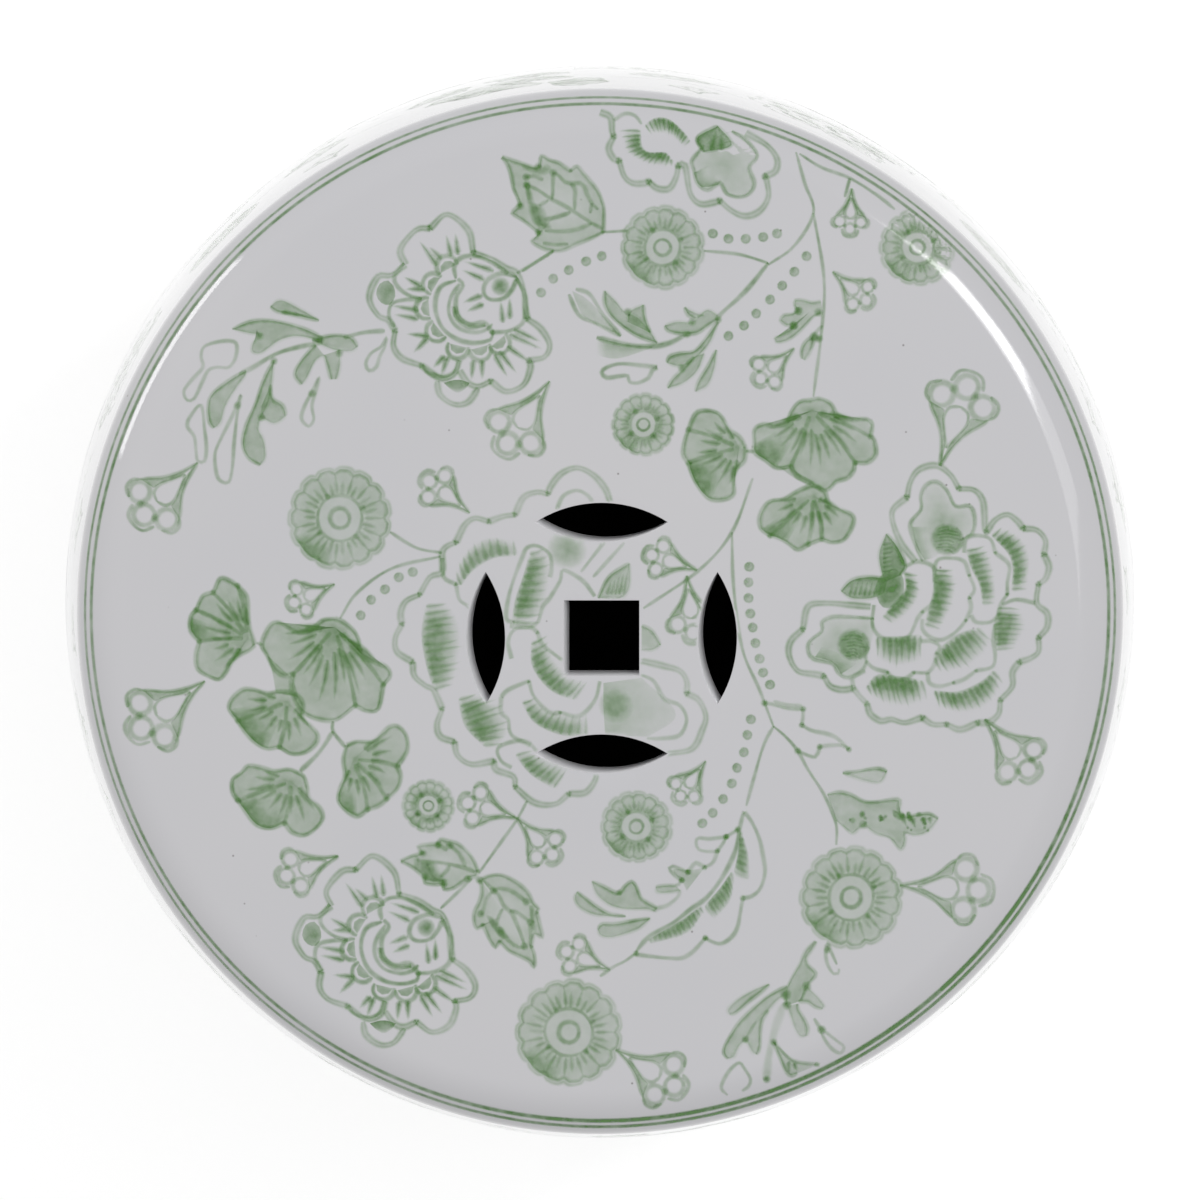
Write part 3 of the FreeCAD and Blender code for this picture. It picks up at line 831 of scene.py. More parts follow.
CENTRE_PEONY_EDGES = [
    [(-45.5, 16), (-45, 10.5), (-41.5, 8.5), (-41.5, 8.5), (-40.5, 4), (-38, 2), (-37, -1.5)],
    [(-24.5, -2.5), (-27, -1.5), (-26.5, 4), (-25, 9.5), (-22.5, 16), (-21, 19), (-18, 19.5), (-14.5, 17),
     (-14, 12.5), (-14.5, 10.5)],
    [(-26, -3.5), (-21, -4), (-18, -2.5), (-16.5, 2), (-14.5, 4.5), (-11.5, 9.5), (-10.5, 12.5), (-5, 9.5),
     (-1.5, 5)],
    [(-25.5, -13), (-26.5, -8), (-24.5, -4.5), (-20, -4), (-18, -5.5), (-18, -5.5), (-16.5, -9), (-11.5, -13),
     (-9, -15.5)],
    [(-28.5, -24), (-26.5, -22), (-22, -20), (-20.5, -19.5), (-20.5, -19.5), (-19, -24), (-14.5, -28.5),
     (-11.5, -28.5), (-11.5, -28.5), (-6, -29.5), (-1.5, -25), (0, -19.5)],
    [(-28.5, -24), (-28.5, -28.5), (-26.5, -30.5), (-25.5, -35), (-20, -38)],
    [(-25.5, -44.5), (-28.5, -42.5), (-29.5, -39), (-25.5, -37), (-21, -37), (-18, -40)]]


def centre_peony(t):
    """The bloom that the coin was cut through."""
    t.lobes(CENTRE_PEONY_RIM, 1.0, 0.75, True, 0.7)
    for base, tips, count in CENTRE_PEONY_COMBS:
        t.comb(base, tips, count, 0.78)
    for edge in CENTRE_PEONY_EDGES:
        t.lobes(edge, 0.9, 0.6, False, 0.5)
    t.line([(-12.5, 30), (-10.5, 34), (-6.5, 35.5), (-3.5, 34), (-2, 32)], 0.9, 0.5)
    t.disc((-9.5, 18.5), 6, [0.55, 0.5, 0.4, 0.25, 0])
    t.line([(-5.5, 12), (1.5, 21)], 0.8, 0.5)
    t.line([(-2, 10.5), (7, 20.5)], 0.8, 0.5)
    t.leaf([(-0.5, 4.5), (2.5, 10.5), (8.5, 14.5)], [(-0.5, 4.5), (6, 4.5), (8.5, 8), (8.5, 14.5)], 0.4, 0.6)
    for number in range(5):
        t.hatch((2 + number * 1.2, 5.5), (3.2 + number * 1.2, 9 + number * 0.8), 0.9, 0.5)
    t.leaf([(12, -3.5), (15, -5), (17.5, -9)], [(12, -10.5), (15, -10.5), (17.5, -9)], 0.35, 0.55)
    t.lobes([(11.5, -13.5), (18, -15), (23, -16.5), (25, -19.5), (25, -23), (25, -23), (28.5, -25),
             (30.5, -29.5), (29.5, -33.5), (26.5, -39), (19, -40.5)], 1.0, 0.6, True)
    inner = [(11.5, -17.5), (15.5, -19.5), (18.5, -24.5), (23, -26.5), (25, -30.5), (23, -35), (18, -36),
             (13.5, -36)]
    t.line(inner, 0.9, 0.5)
    t.wash([(1, -20), (1, -27), (1.5, -35)], [(12, -18.5), (22, -29), (14, -35.5)],
           [0.4, 0.4, 0.32, 0.25, 0.2, 0.15])
    t.disc((4.5, -26.5), 5.2, [0.75, 0.75, 0.7, 0.55, 0.3, 0])


print_on_seat("peony_centre", centre_peony)

RIGHT_PEONY_RIM = [
    (91, 15), (87, 20), (84.5, 26), (84.5, 30), (88.5, 33.5), (88.5, 33.5), (89.5, 38), (92, 41.5),
    (97, 42.7), (101, 40), (103.5, 36), (103.5, 36), (108, 35.5), (110.5, 32), (111, 24), (111.5, 23.5),
    (111.5, 23.5), (114, 27), (117.5, 28.5), (120.5, 26.5), (122, 24.5), (122, 24.5), (126, 24),
    (128.5, 21), (128, 17), (128, 17), (129.5, 13.5), (128.5, 10), (126.5, 8.5), (126.5, 8.5), (126, 3),
    (129, 0), (129, -4), (126.5, -7), (126.5, -7), (126.5, -11), (124, -13), (121, -14), (121, -14),
    (119, -17), (119, -21), (115.5, -25), (115.5, -25), (115, -29), (112, -31.5), (109, -31.5),
    (109, -31.5), (104, -33.5), (100, -32), (100, -32), (96, -32), (93, -30), (93, -30), (88, -31.5),
    (84, -30.5), (81, -31), (78, -29), (77, -26), (77, -26), (75, -24), (73, -21.5), (73, -21.5),
    (70, -22), (66.5, -21), (64.5, -18), (64.5, -18), (62, -17.5), (57, -16.5), (54.5, -12), (55, -8),
    (58.5, -4.5), (58.5, -4.5), (60, 2), (65, 3), (72, 2.5), (78, 2)]
RIGHT_PEONY_COMBS = [
    ([(87.5, 11.5), (88, 7), (85, 3.5), (81.5, -0.5)], [(91.5, 11), (92, 5.5), (89, 0.5), (84.5, -3)], 9),
    ([(96.5, 12.5), (96, 7), (95, 2.5), (93.5, -3)],
     [(102, 12.5), (102.5, 7), (101, 1.5), (98, -4.5)], 10),
    ([(105.5, 18), (107, 13), (109.5, 8), (110, 3)], [(111, 19.5), (113, 14), (114, 8), (114, 3)], 10),
    ([(113, 22), (117.5, 17.5), (119, 13), (118.5, 7)],
     [(116, 25), (121.5, 21.5), (124, 15.5), (123, 7)], 11),
    ([(114.5, 1.5), (113.5, -4), (114, -10.5)], [(121.5, 1), (122.5, -4), (119.5, -10)], 9),
    ([(80, -6.5), (86, -6.5), (92.5, -6)], [(80, -13.5), (86, -15), (92.5, -13.5)], 8),
    ([(96.5, -12.5), (99, -9), (103, -6), (108.5, -4)],
     [(98.5, -17), (105, -15.5), (109.5, -12.5), (113, -8)], 10),
    ([(77, -20.5), (80, -17.5), (86, -18), (92.5, -19)],
     [(78.5, -24), (83, -26), (89, -26.5), (94, -24.5)], 10),
    ([(96.5, -22), (103, -22.5), (110, -19.5), (113, -16.5)],
     [(98, -27.5), (105, -28.5), (112, -26), (116, -20)], 12)]
RIGHT_PEONY_EDGES = [
    [(88, 13.5), (91.5, 15), (96, 13.5), (96.5, 9), (97, 5.5), (95.5, 2.5), (93, 0.5), (93, 0.5),
     (91.5, -1.5), (90.5, -4), (89, -6.5), (86, -7.5), (82.5, -7.5), (80, -6), (78.5, -3), (79, 2.5)],
    [(96.5, 9), (97, 15), (101, 16), (105, 15), (106.5, 11), (106.5, 11), (108, 7), (106.5, 4.5),
     (106.5, 4.5), (107, 1.5), (105.5, -2), (105.5, -2), (103, -5), (99, -7.5), (95.5, -7), (93, -4.5),
     (93, -1.5)],
    [(105, 17.5), (105.5, 21.5), (108.5, 22.5), (112.5, 21.5), (114, 17.5), (114, 17.5), (118, 14),
     (117.5, 9), (117.5, 5.5), (117.5, 5.5), (115.5, 2.5), (115, -0.5), (115, -0.5), (112.5, -2.5),
     (108.5, -2.5), (107, -0.5)],
    [(116, 2.5), (120, 4), (125.5, 3)],
    [(77.5, -9.5), (76.5, -12.5), (78.5, -15.5), (83, -17), (83, -17), (85.5, -19), (88.5, -18.5),
     (90.5, -17), (90.5, -17), (94.5, -17), (96.5, -14.5), (97, -11.5), (97, -11.5), (98, -9.5),
     (95.5, -8), (92.5, -8)],
    [(94.5, -17), (95, -20), (98, -21), (102, -20), (102, -20), (105, -19), (108.5, -16.5),
     (108.5, -16.5), (113, -15.5), (114, -12.5), (113.5, -8), (114, -3)],
    [(73, -21), (73, -18.5), (76.5, -16.5)]]


def petal_eye(t, centre, radius):
    """The round, finely ruled patch at the root of an open petal."""
    t.disc(centre, radius * 1.15, [0.55, 0.55, 0.6, 0.7, 0.55, 0])
    for number in range(8):
        height = radius * (-0.78 + number * 0.22)
        half = math.sqrt(radius ** 2 - height ** 2) * 0.9
        start, end = t.chance.uniform(-1, -0.3) * half, t.chance.uniform(0.2, 1) * half
        t.line([(centre[0] + start, centre[1] + height), (centre[0] + 0.3, centre[1] + height + 0.4),
                (centre[0] + end, centre[1] + height - 0.3)], 0.5, 0.6)
    t.line([(centre[0] + radius * math.cos(turn), centre[1] + radius * math.sin(turn))
            for turn in (-1.2, -0.5, 0.2, 0.9)], 1.0, 0.6)


def right_peony(t):
    """The full bloom at the seat's right."""
    t.lobes(RIGHT_PEONY_RIM, 1.0, 0.8, True, 0.8)
    for base, tips, count in RIGHT_PEONY_COMBS:
        t.comb(base, tips, count, 0.85)
    for edge in RIGHT_PEONY_EDGES:
        t.lobes(edge, 0.9, 0.62, False, 0.5)
    top = [(93, 15), (90.5, 21), (89.5, 26), (92.5, 30), (92.5, 34), (94, 37), (97, 38), (100, 35.5),
           (102.5, 31), (106.5, 31), (108, 28), (107.5, 23.5), (104, 21)]
    t.fan((99, 25), top, [0.5, 0.4, 0.25, 0.12])
    t.wash([(90, 25), (91, 20), (93.5, 15.5)], [(94, 25), (94.5, 20), (96, 16)], [0.5, 0.4, 0.2, 0])
    t.line(top, 0.9, 0.7)
    petal_eye(t, (100, 21.3), 4.3)
    left = [(79, -1.5), (72.5, -1), (67, -1), (64, -2.5), (64, -5), (60.5, -8), (60, -10.5), (61.5, -13),
            (67, -14.5), (68.5, -17), (71.5, -18.5), (75.5, -16.5), (77, -13.5)]
    t.fan((73, -9), left, [0.5, 0.4, 0.25, 0.12])
    t.wash([(62, -12.5), (67, -14), (69.5, -17.5)], [(64, -9.5), (69, -11.5), (74, -14.5)],
           [0.6, 0.4, 0.2, 0])
    t.line(left, 0.9, 0.7)
    petal_eye(t, (73, -9), 4.3)
    for one, other in (([(86.5, 11), (88, 14), (85.5, 19.5), (82.5, 23)],
                        [(82, 9), (81, 13), (80.5, 17.5), (82.5, 23)]),
                       ([(83, 10), (77.5, 10.5), (72.5, 9.5), (69.5, 6.5)],
                        [(82, 6), (78.5, 4.5), (72.5, 4.5), (69.5, 6.5)])):
        t.leaf(one, other, 0.75, 0.75)
    t.fan((84, 7), [(87.5, 10), (85, 13), (81, 11), (79.5, 7.5), (80.5, 3), (83, 1.5), (87, 4)],
          [0.9, 0.85, 0.75, 0.5])
    for number in range(7):
        t.hatch((81.5, 12 + number * 1.3), (84.5, 12.6 + number * 1.3), 0.7, 0.7)
        t.hatch((72 + number * 1.4, 5.2), (73 + number * 1.4, 9.2), 0.7, 0.7)


print_on_seat("peony_right", right_peony)

TOP_PEONY_RIM = [
    (0, 144.5), (3, 143), (3.5, 139), (4, 137.5), (4, 137.5), (2.5, 134), (4, 131), (5.5, 130.5),
    (5.5, 130.5), (7, 126), (9.5, 124), (13, 124), (14, 124.5), (14, 124.5), (16.5, 122.5), (20, 122.5),
    (22, 126), (22.5, 129), (22.5, 129), (24.5, 129), (26, 121), (29, 118), (33, 118.5), (34.5, 119),
    (34.5, 119), (38, 116), (42, 114.5), (46, 116), (48.5, 120), (48, 125), (47.5, 126), (47.5, 126),
    (50.5, 127.5), (51, 131), (48, 135), (42, 138.5)]


def top_peony(t):
    """The bloom at the far edge, trimmed by the ring."""
    t.lobes(TOP_PEONY_RIM, 1.0, 0.8, True, 0.9)
    inner = [(38, 139), (42, 136.5), (45, 133), (45, 131), (43, 128.5), (44.5, 124), (43, 121), (40, 120),
             (36.5, 121), (34.5, 124), (31, 122), (28, 124), (27, 128), (26.5, 130.5), (30, 135)]
    t.fan((35, 130), inner, [0.5, 0.35, 0.25, 0.2])
    t.line(inner, 0.9, 0.7)
    t.comb([(12, 139), (12, 135), (14, 133), (19, 133), (20.5, 131)],
           [(6, 139), (8, 133), (13, 130), (18, 129), (20.5, 129)], 13, 0.95)
    t.comb([(13, 141), (16, 143), (20, 142.5), (24, 139), (26, 136.5)],
           [(15, 138), (17, 138.5), (20, 138), (22.5, 136), (24, 134.5)], 12, 0.9)
    t.leaf([(30, 133), (28, 137), (34, 140.5)], [(30, 133), (38, 135), (34, 140.5)], 0.75, 0.9)
    t.hatch((32, 133.5), (33.5, 139), 1.6, 1.0)
    t.hatch((35, 133.5), (35, 138), 1.6, 1.0)
    t.line([(4, 142), (7, 144), (10, 143.5), (12, 141)], 0.8, 0.6)
    t.wash([(27, 127), (29, 123), (34, 123.5)], [(31, 129), (31, 127), (35, 125)], [0.6, 0.4, 0.2, 0])


print_on_seat("peony_top", top_peony)

# Daisies. Round blooms in a scalloped double line, ribbed from a shaded ring round the eye,
# and darker at one side as if in shadow.
PETALS = 15
SHADED_SIDE = 4.0


def daisy(t, centre, radius):
    """One daisy, seen face on."""
    def at(turn, reach):
        return (centre[0] + radius * reach * math.cos(turn), centre[1] + radius * reach * math.sin(turn))
    rim = []
    for petal in range(PETALS):
        start = math.tau * petal / PETALS
        wide = math.tau / PETALS * t.chance.uniform(0.96, 1.04)
        rim += [at(start, 0.92), at(start + wide * 0.25, 0.985), at(start + wide * 0.75, 0.985)]
    t.fan(centre, rim, [0.26, 0.26, 0.24, 0.28, 0.4, 0.34, 0.3])
    t.line(rim, 1.0, 0.62, closed=True, double=radius > 9)
    t.line(t.circle(centre, radius * 0.46), 0.75, 0.66, closed=True)
    t.line(t.circle(centre, radius * 0.2), 0.065 * radius, 0.85, closed=True)
    for petal in range(PETALS):
        start = math.tau * petal / PETALS
        t.hatch(at(start, 0.5), at(start, 0.9), 0.95, 0.55)
        middle = start + math.pi / PETALS + t.chance.uniform(-0.04, 0.04)
        t.hatch(at(middle, 0.48), at(middle, t.chance.uniform(0.7, 0.8)), 1.2, t.chance.uniform(0.4, 0.65))
        if petal % 4 == 1:
            t.blot(at(start, 0.5), 0.8, 0.8)
    turns = [SHADED_SIDE + 0.25 * number for number in range(-2, 3)]
    t.wash([at(turn, 0.96) for turn in turns], [at(turn, 0.6) for turn in turns],
           [0.6, 0.6, 0.45, 0.2, 0], (0, 0))


DAISIES = [
    ("upper", (18, 105.5), 11.5), ("left", (-75, 27.5), 14.4), ("middle", (12.5, 54.5), 8.7),
    ("corner", (91.5, 105.5), 10.4), ("small", (-49.5, -55.5), 7.2), ("lower", (10.5, -61.5), 9.8),
    ("right", (72.5, -82), 14.4), ("bottom", (-9, -121), 15)]
for name, centre, radius in DAISIES:
    print_on_seat("daisy_" + name, lambda t: daisy(t, centre, radius))

# Ginkgo sprays. Fan leaves on short stalks: a lobed rim, folds running from the hub, and a
# wash that is deepest at the hub and in one corner.


def ginkgo(t, hub, rim, folds, shade):
    """One fan leaf; a rim point given twice is a notch, and a fold runs to it."""
    points = [point for place, point in enumerate(rim) if place == 0 or point != rim[place - 1]]
    t.fan(hub, points, [0.75, 0.56, 0.48, 0.43, 0.4, 0.4])
    t.lobes(rim + rim[:1], 1.0, 0.8, False, 0.8)
    hub = Vector(hub)
    for place in range(1, len(rim)):
        if rim[place] == rim[place - 1]:
            notch = Vector(rim[place])
            t.line([notch, notch.lerp(hub, 0.4) + Vector((0.5, 0.3)), hub.lerp(notch, 0.1)], 0.9, 0.75)
    fringe = spread(smooth(points[2:-1]), folds + 2)[1:-1]
    for place, tip in enumerate(fringe):
        near, far = t.chance.uniform(0.25, 0.38), t.chance.uniform(0.66, 0.82)
        t.hatch(hub.lerp(tip, near), hub.lerp(tip, far), 1.25, 0.8, 0.04)
    if shade:
        first, last = shade
        part = points[first:last]
        inward = [Vector(point).lerp(hub, 0.5) for point in part]
        t.wash(part, inward, [0.8, 0.75, 0.5, 0.2, 0], (0.2, 0.2))


GINKGO_LEFT = [
    ((-101.5, -7), [
        (-99.5, -9), (-101, -4), (-101.5, 0), (-102, 5), (-104.5, 8), (-104.5, 8), (-107, 9.5), (-109.5, 10),
        (-111.5, 6), (-111.5, 6), (-114.5, 5), (-116.5, 1), (-116.5, 1), (-118, -1), (-118, -5),
        (-115.5, -8), (-115.5, -8), (-116.5, -12), (-116, -16), (-113, -18), (-110, -19), (-108, -17),
        (-106.5, -14), (-104, -12), (-101, -10.5)], 11, (10, 13)),
    ((-76.5, -4), [
        (-76.5, -1.5), (-80, -2), (-83, -4.5), (-87, -5.5), (-90, -4), (-93, -2.5), (-95.5, -4), (-97.5, -9),
        (-96, -12), (-94, -16), (-91, -18), (-88.5, -17.5), (-88.5, -17.5), (-89, -21), (-88, -25),
        (-85.5, -28.5), (-81, -30.5), (-76, -30.5), (-70.5, -26.5), (-70.5, -26.5), (-67.5, -28),
        (-64, -27.5), (-62.5, -20.5), (-62.5, -20.5), (-60.5, -18), (-61.5, -15.5), (-65, -14), (-69, -11.5),
        (-69.5, -8), (-71, -5), (-74, -2.5)], 17, None),
    ((-90, -25.5), [
        (-88.5, -23), (-92, -22.5), (-96, -23), (-100, -22), (-103, -22), (-106, -24.5), (-107, -27.5),
        (-104.5, -31), (-104.5, -31), (-102, -34.5), (-99, -37.5), (-96, -39), (-92.5, -38.5),
        (-92.5, -38.5), (-89, -40.5), (-85, -40), (-82, -37.5), (-81.5, -35), (-83.5, -32.5), (-86, -30),
        (-85.5, -27), (-86.5, -24.5)], 10, (6, 11)),
    ((-89, -48.5), [
        (-87, -46), (-90, -45), (-94, -45.5), (-98, -44.5), (-101.5, -44), (-103.5, -46), (-106, -48),
        (-106, -51.5), (-104.5, -54), (-104.5, -54), (-102, -57.5), (-99, -61), (-95, -62), (-91, -60.5),
        (-91, -60.5), (-89, -63), (-85.5, -64), (-82, -62), (-80, -59), (-81, -56), (-84, -53.5),
        (-84.5, -50), (-85.5, -47)], 10, (8, 13)),
    ((-71, -42), [
        (-73, -38), (-70, -37), (-65.5, -37), (-63, -35), (-61, -33), (-58.5, -32.5), (-56, -35),
        (-55.5, -39), (-57, -42), (-58.5, -44), (-58.5, -44), (-57.5, -47), (-58.5, -50.5), (-61.5, -53.5),
        (-61.5, -53.5), (-64, -55.5), (-67, -56.5), (-67, -56.5), (-70, -58.5), (-73, -57), (-75.5, -54),
        (-75, -50.5), (-73.5, -47), (-74, -42)], 10, (15, 19))]
GINKGO_RIGHT = [
    ((40, 48), [
        (42, 48), (40, 51), (37, 53), (35.5, 56), (33.5, 58), (30, 58.5), (27.5, 57.5), (25.5, 53),
        (25.5, 53), (24.5, 50), (24, 46), (25.5, 43.5), (25.5, 43.5), (27, 39), (29.5, 35), (32, 33),
        (36, 33), (38.5, 34.5), (38.5, 38), (39, 41.5), (41.5, 44)], 10, (10, 14)),
    ((61, 58.5), [
        (61, 61.5), (57.5, 61), (55, 58), (54, 55), (51, 54), (47, 54.5), (44.5, 53), (44.5, 49),
        (44.5, 46.5), (47.5, 44.5), (51, 42), (55, 42.5), (55, 42.5), (56.5, 40), (60, 38), (65, 35.5),
        (68, 38), (71, 39), (73, 41), (73.5, 43.5), (73.5, 43.5), (77, 43.5), (79.5, 46), (79, 50),
        (78, 51), (78, 51), (78.5, 54.5), (77, 56), (72, 56), (68.5, 57), (66.5, 60.5), (63, 62)],
     17, (7, 11)),
    ((61.5, 34), [
        (61, 37), (56.5, 35), (53, 33), (49.5, 32.5), (47.5, 31), (46, 27.5), (46.5, 24.5), (49, 22.5),
        (49, 22.5), (51, 22), (54, 20.5), (57, 18.5), (60, 20), (60, 20), (64, 21.5), (64, 21.5), (67, 20.5),
        (70.5, 21.5), (73, 26), (72.5, 28.5), (69, 30), (66, 31.5), (65, 34.5), (63, 36.5)], 11, (6, 10))]


def ginkgo_left(t):
    """The five-leaf spray."""
    for hub, rim, folds, shade in GINKGO_LEFT:
        ginkgo(t, hub, rim, folds, shade)
    t.line([(-77, -31), (-77, -34), (-73.5, -38.5)], 0.9, 0.75)
    t.line([(-77, -34), (-81, -40), (-86.5, -45.5)], 1.0, 0.75)
    t.line([(-99, -8.5), (-97.5, -9)], 0.9, 0.7)
    t.wash([(-96, -12), (-94.5, -17), (-93.5, -23)], [(-90, -17.5), (-88.5, -19), (-87, -24)],
           [0.4, 0.45, 0.45])


def ginkgo_right(t):
    """The three-leaf spray."""
    for hub, rim, folds, shade in GINKGO_RIGHT:
        ginkgo(t, hub, rim, folds, shade)
    t.line([(42, 46.8), (44.5, 46.7)], 0.9, 0.75)
    t.wash([(52, 42), (56, 39), (60, 37)], [(55, 42), (58, 40), (62, 38)], [0.4, 0.4, 0.4])


print_on_seat("ginkgo_left", ginkgo_left)
print_on_seat("ginkgo_right", ginkgo_right)

# Fronds. Soft lobed leaves in flat colour, each with one hard edge, among loops left open: a
# spray behind the upper camellia and one under the upper daisy.
FRONDS_LEFT = [
    ([(-80, 79.5), (-84, 81.5), (-90, 83.5), (-96, 84.5), (-101, 84), (-106, 82)],
     [(-80, 78.5), (-87, 80), (-92, 79), (-95, 77), (-98, 75), (-100.3, 75.5), (-100, 78), (-98, 80.3),
      (-101, 80.8), (-106, 82)]),
    ([(-81, 84.5), (-88, 86), (-93, 87), (-95, 88.5)],
     [(-81, 84.5), (-86, 87.5), (-92, 90.3), (-95, 88.5)]),
    ([(-102, 70), (-107, 67), (-112, 63), (-113, 59), (-112.5, 55), (-111.3, 53.5)],
     [(-102, 69), (-105, 65), (-108, 60), (-109.5, 55), (-111.3, 53.5)]),
    ([(-94, 73), (-97, 67), (-99.5, 60), (-102, 54), (-103, 49), (-101.5, 45), (-98, 42.8)],
     [(-94, 73), (-94.7, 66), (-95.5, 61), (-97.5, 57), (-98.5, 53), (-97, 50), (-96.5, 45),
      (-98, 42.8)]),
    ([(-95, 66), (-94.5, 62), (-91.5, 60), (-90.5, 57)],
     [(-97.5, 60), (-97.5, 57), (-94, 54.8), (-90.5, 57)]),
    ([(-82, 77.5), (-86, 73), (-88, 69), (-86, 66)], [(-79.5, 74.5), (-82, 73), (-84.5, 68), (-86, 66)]),
    ([(-79.5, 74.5), (-78.7, 72), (-77.5, 67.5)], [(-75, 76), (-75, 71), (-76, 67.5)]),
    ([(-83, 78.8), (-77, 80.2), (-72, 79.6), (-69.8, 77)],
     [(-83, 78.8), (-77, 76.2), (-72, 75.6), (-69.8, 77)])]
LOOPS_LEFT = [
    [(-105, 78), (-109, 78.5), (-114, 77), (-115, 74), (-114.5, 71), (-118, 67), (-120, 64), (-119, 61.5),
     (-117, 62), (-115, 66), (-113, 70), (-110.5, 71), (-107, 71), (-105, 74)],
    [(-115, 60), (-118, 57), (-119, 54), (-117, 51), (-116.5, 47), (-116, 44), (-114, 44), (-113.5, 48),
     (-114, 53)],
    [(-103.5, 63), (-106, 57), (-109, 51), (-111, 46), (-110.5, 40), (-109, 38), (-107, 38), (-106, 42),
     (-105.5, 49), (-104.5, 58)],
    [(-81, 68), (-83, 64), (-85.5, 59), (-86, 56), (-84, 54), (-82.5, 56), (-83, 60), (-81.7, 65)],
    [(-61.5, 79.5), (-63, 77), (-66, 75), (-67.5, 72), (-66.5, 70), (-64.5, 71), (-63.5, 74), (-62, 77)]]
FRONDS_MIDDLE = [
    ([(34, 85), (31, 83), (28, 81), (24, 80.6), (19.5, 81.5), (18.7, 83)],
     [(34, 86), (31, 87.5), (28.5, 85.8), (26.5, 84), (22, 84), (18.7, 83)]),
    ([(27.5, 85), (25.5, 86), (24.3, 88.3)], [(30, 86), (27.5, 86.6), (24.3, 88.3)]),
    ([(34, 84), (30, 78.5), (27, 75.5), (23, 75), (20, 74), (19.3, 72.3)],
     [(34, 84), (31.5, 78), (28, 74), (24.5, 71.5), (21.5, 71.5), (19.3, 72.3)]),
    ([(27, 74), (24, 70.5), (21, 67.5), (19.5, 65)], [(30, 75), (28, 70), (24, 66.5), (19.5, 65)]),
    ([(33.5, 76), (31, 71), (28.5, 67), (27.5, 64)], [(33.5, 76), (33, 71), (31, 66), (27.5, 64)]),
    ([(16.5, 78), (10, 80.5), (4, 85), (1.5, 89), (1.3, 93)],
     [(16.5, 78), (14, 82), (10.5, 85.5), (7, 87), (4.5, 90), (1.3, 93)]),
    ([(14.5, 81), (13, 85), (12.5, 89)], [(8, 84), (8.5, 87), (12.5, 89)])]


def fronds_left(t):
    """The spray behind the upper camellia."""
    t.line([(-62, 81.5), (-68, 81), (-74, 79.5)], 1.0, 0.7)
    t.line([(-80, 78), (-86, 77), (-93, 75), (-100, 71), (-104, 69)], 1.0, 0.75)
    for one, other in FRONDS_LEFT:
        t.leaf(one, other)
    for loop in LOOPS_LEFT:
        t.line(loop, 0.8, 0.6, closed=True)
    for spot in ((-80.5, 79), (-94, 72.8), (-98, 80), (-83, 63.5), (-97.5, 56.5), (-75, 75), (-104.5, 60)):
        t.blot(spot, 1.0)
    t.hatch((-92, 87), (-84, 85.6), 1.0, 0.9)


def fronds_middle(t):
    """The spray under the upper daisy."""
    for one, other in FRONDS_MIDDLE:
        t.leaf(one, other)
    t.line([(48.5, 101), (42, 93), (35, 86.5), (33.5, 84.5)], 1.0, 0.8)
    t.line([(25, 80.5), (20, 78), (15, 77), (8, 77.5), (-1, 79.5)], 1.1, 0.85)
    t.wash([(15, 77), (8, 77.5), (-1, 79.5)], [(15, 76.5), (5, 73.5), (-1, 74.5)],
           [0.6, 0.5, 0.35, 0.25], (1, 0))
    t.line([(-7, 93.5), (-3, 92), (1, 86), (6, 80)], 0.9, 0.7)
    t.line([(-9, 92), (-6, 86), (-1, 83.5), (6, 80)], 0.9, 0.7)
    t.wash([(-8, 93), (-3, 90), (6, 80)], [(-7, 90), (-4, 85), (6, 80)], [0.25, 0.35, 0.25])
    t.lobes([(16.5, 71), (12, 71.5), (6, 72), (2, 71), (0.5, 69.5), (2, 68), (6, 68.5), (8, 68.5),
             (8.5, 66.8), (11, 66.5), (14, 68), (15, 70), (16.5, 71)], 0.9, 0.8)
    for spot in ((26.5, 84), (25, 80.5), (23.5, 70.8), (8, 87), (34, 84.7)):
        t.blot(spot, 1.0)


print_on_seat("fronds_left", fronds_left)
print_on_seat("fronds_middle", fronds_middle)

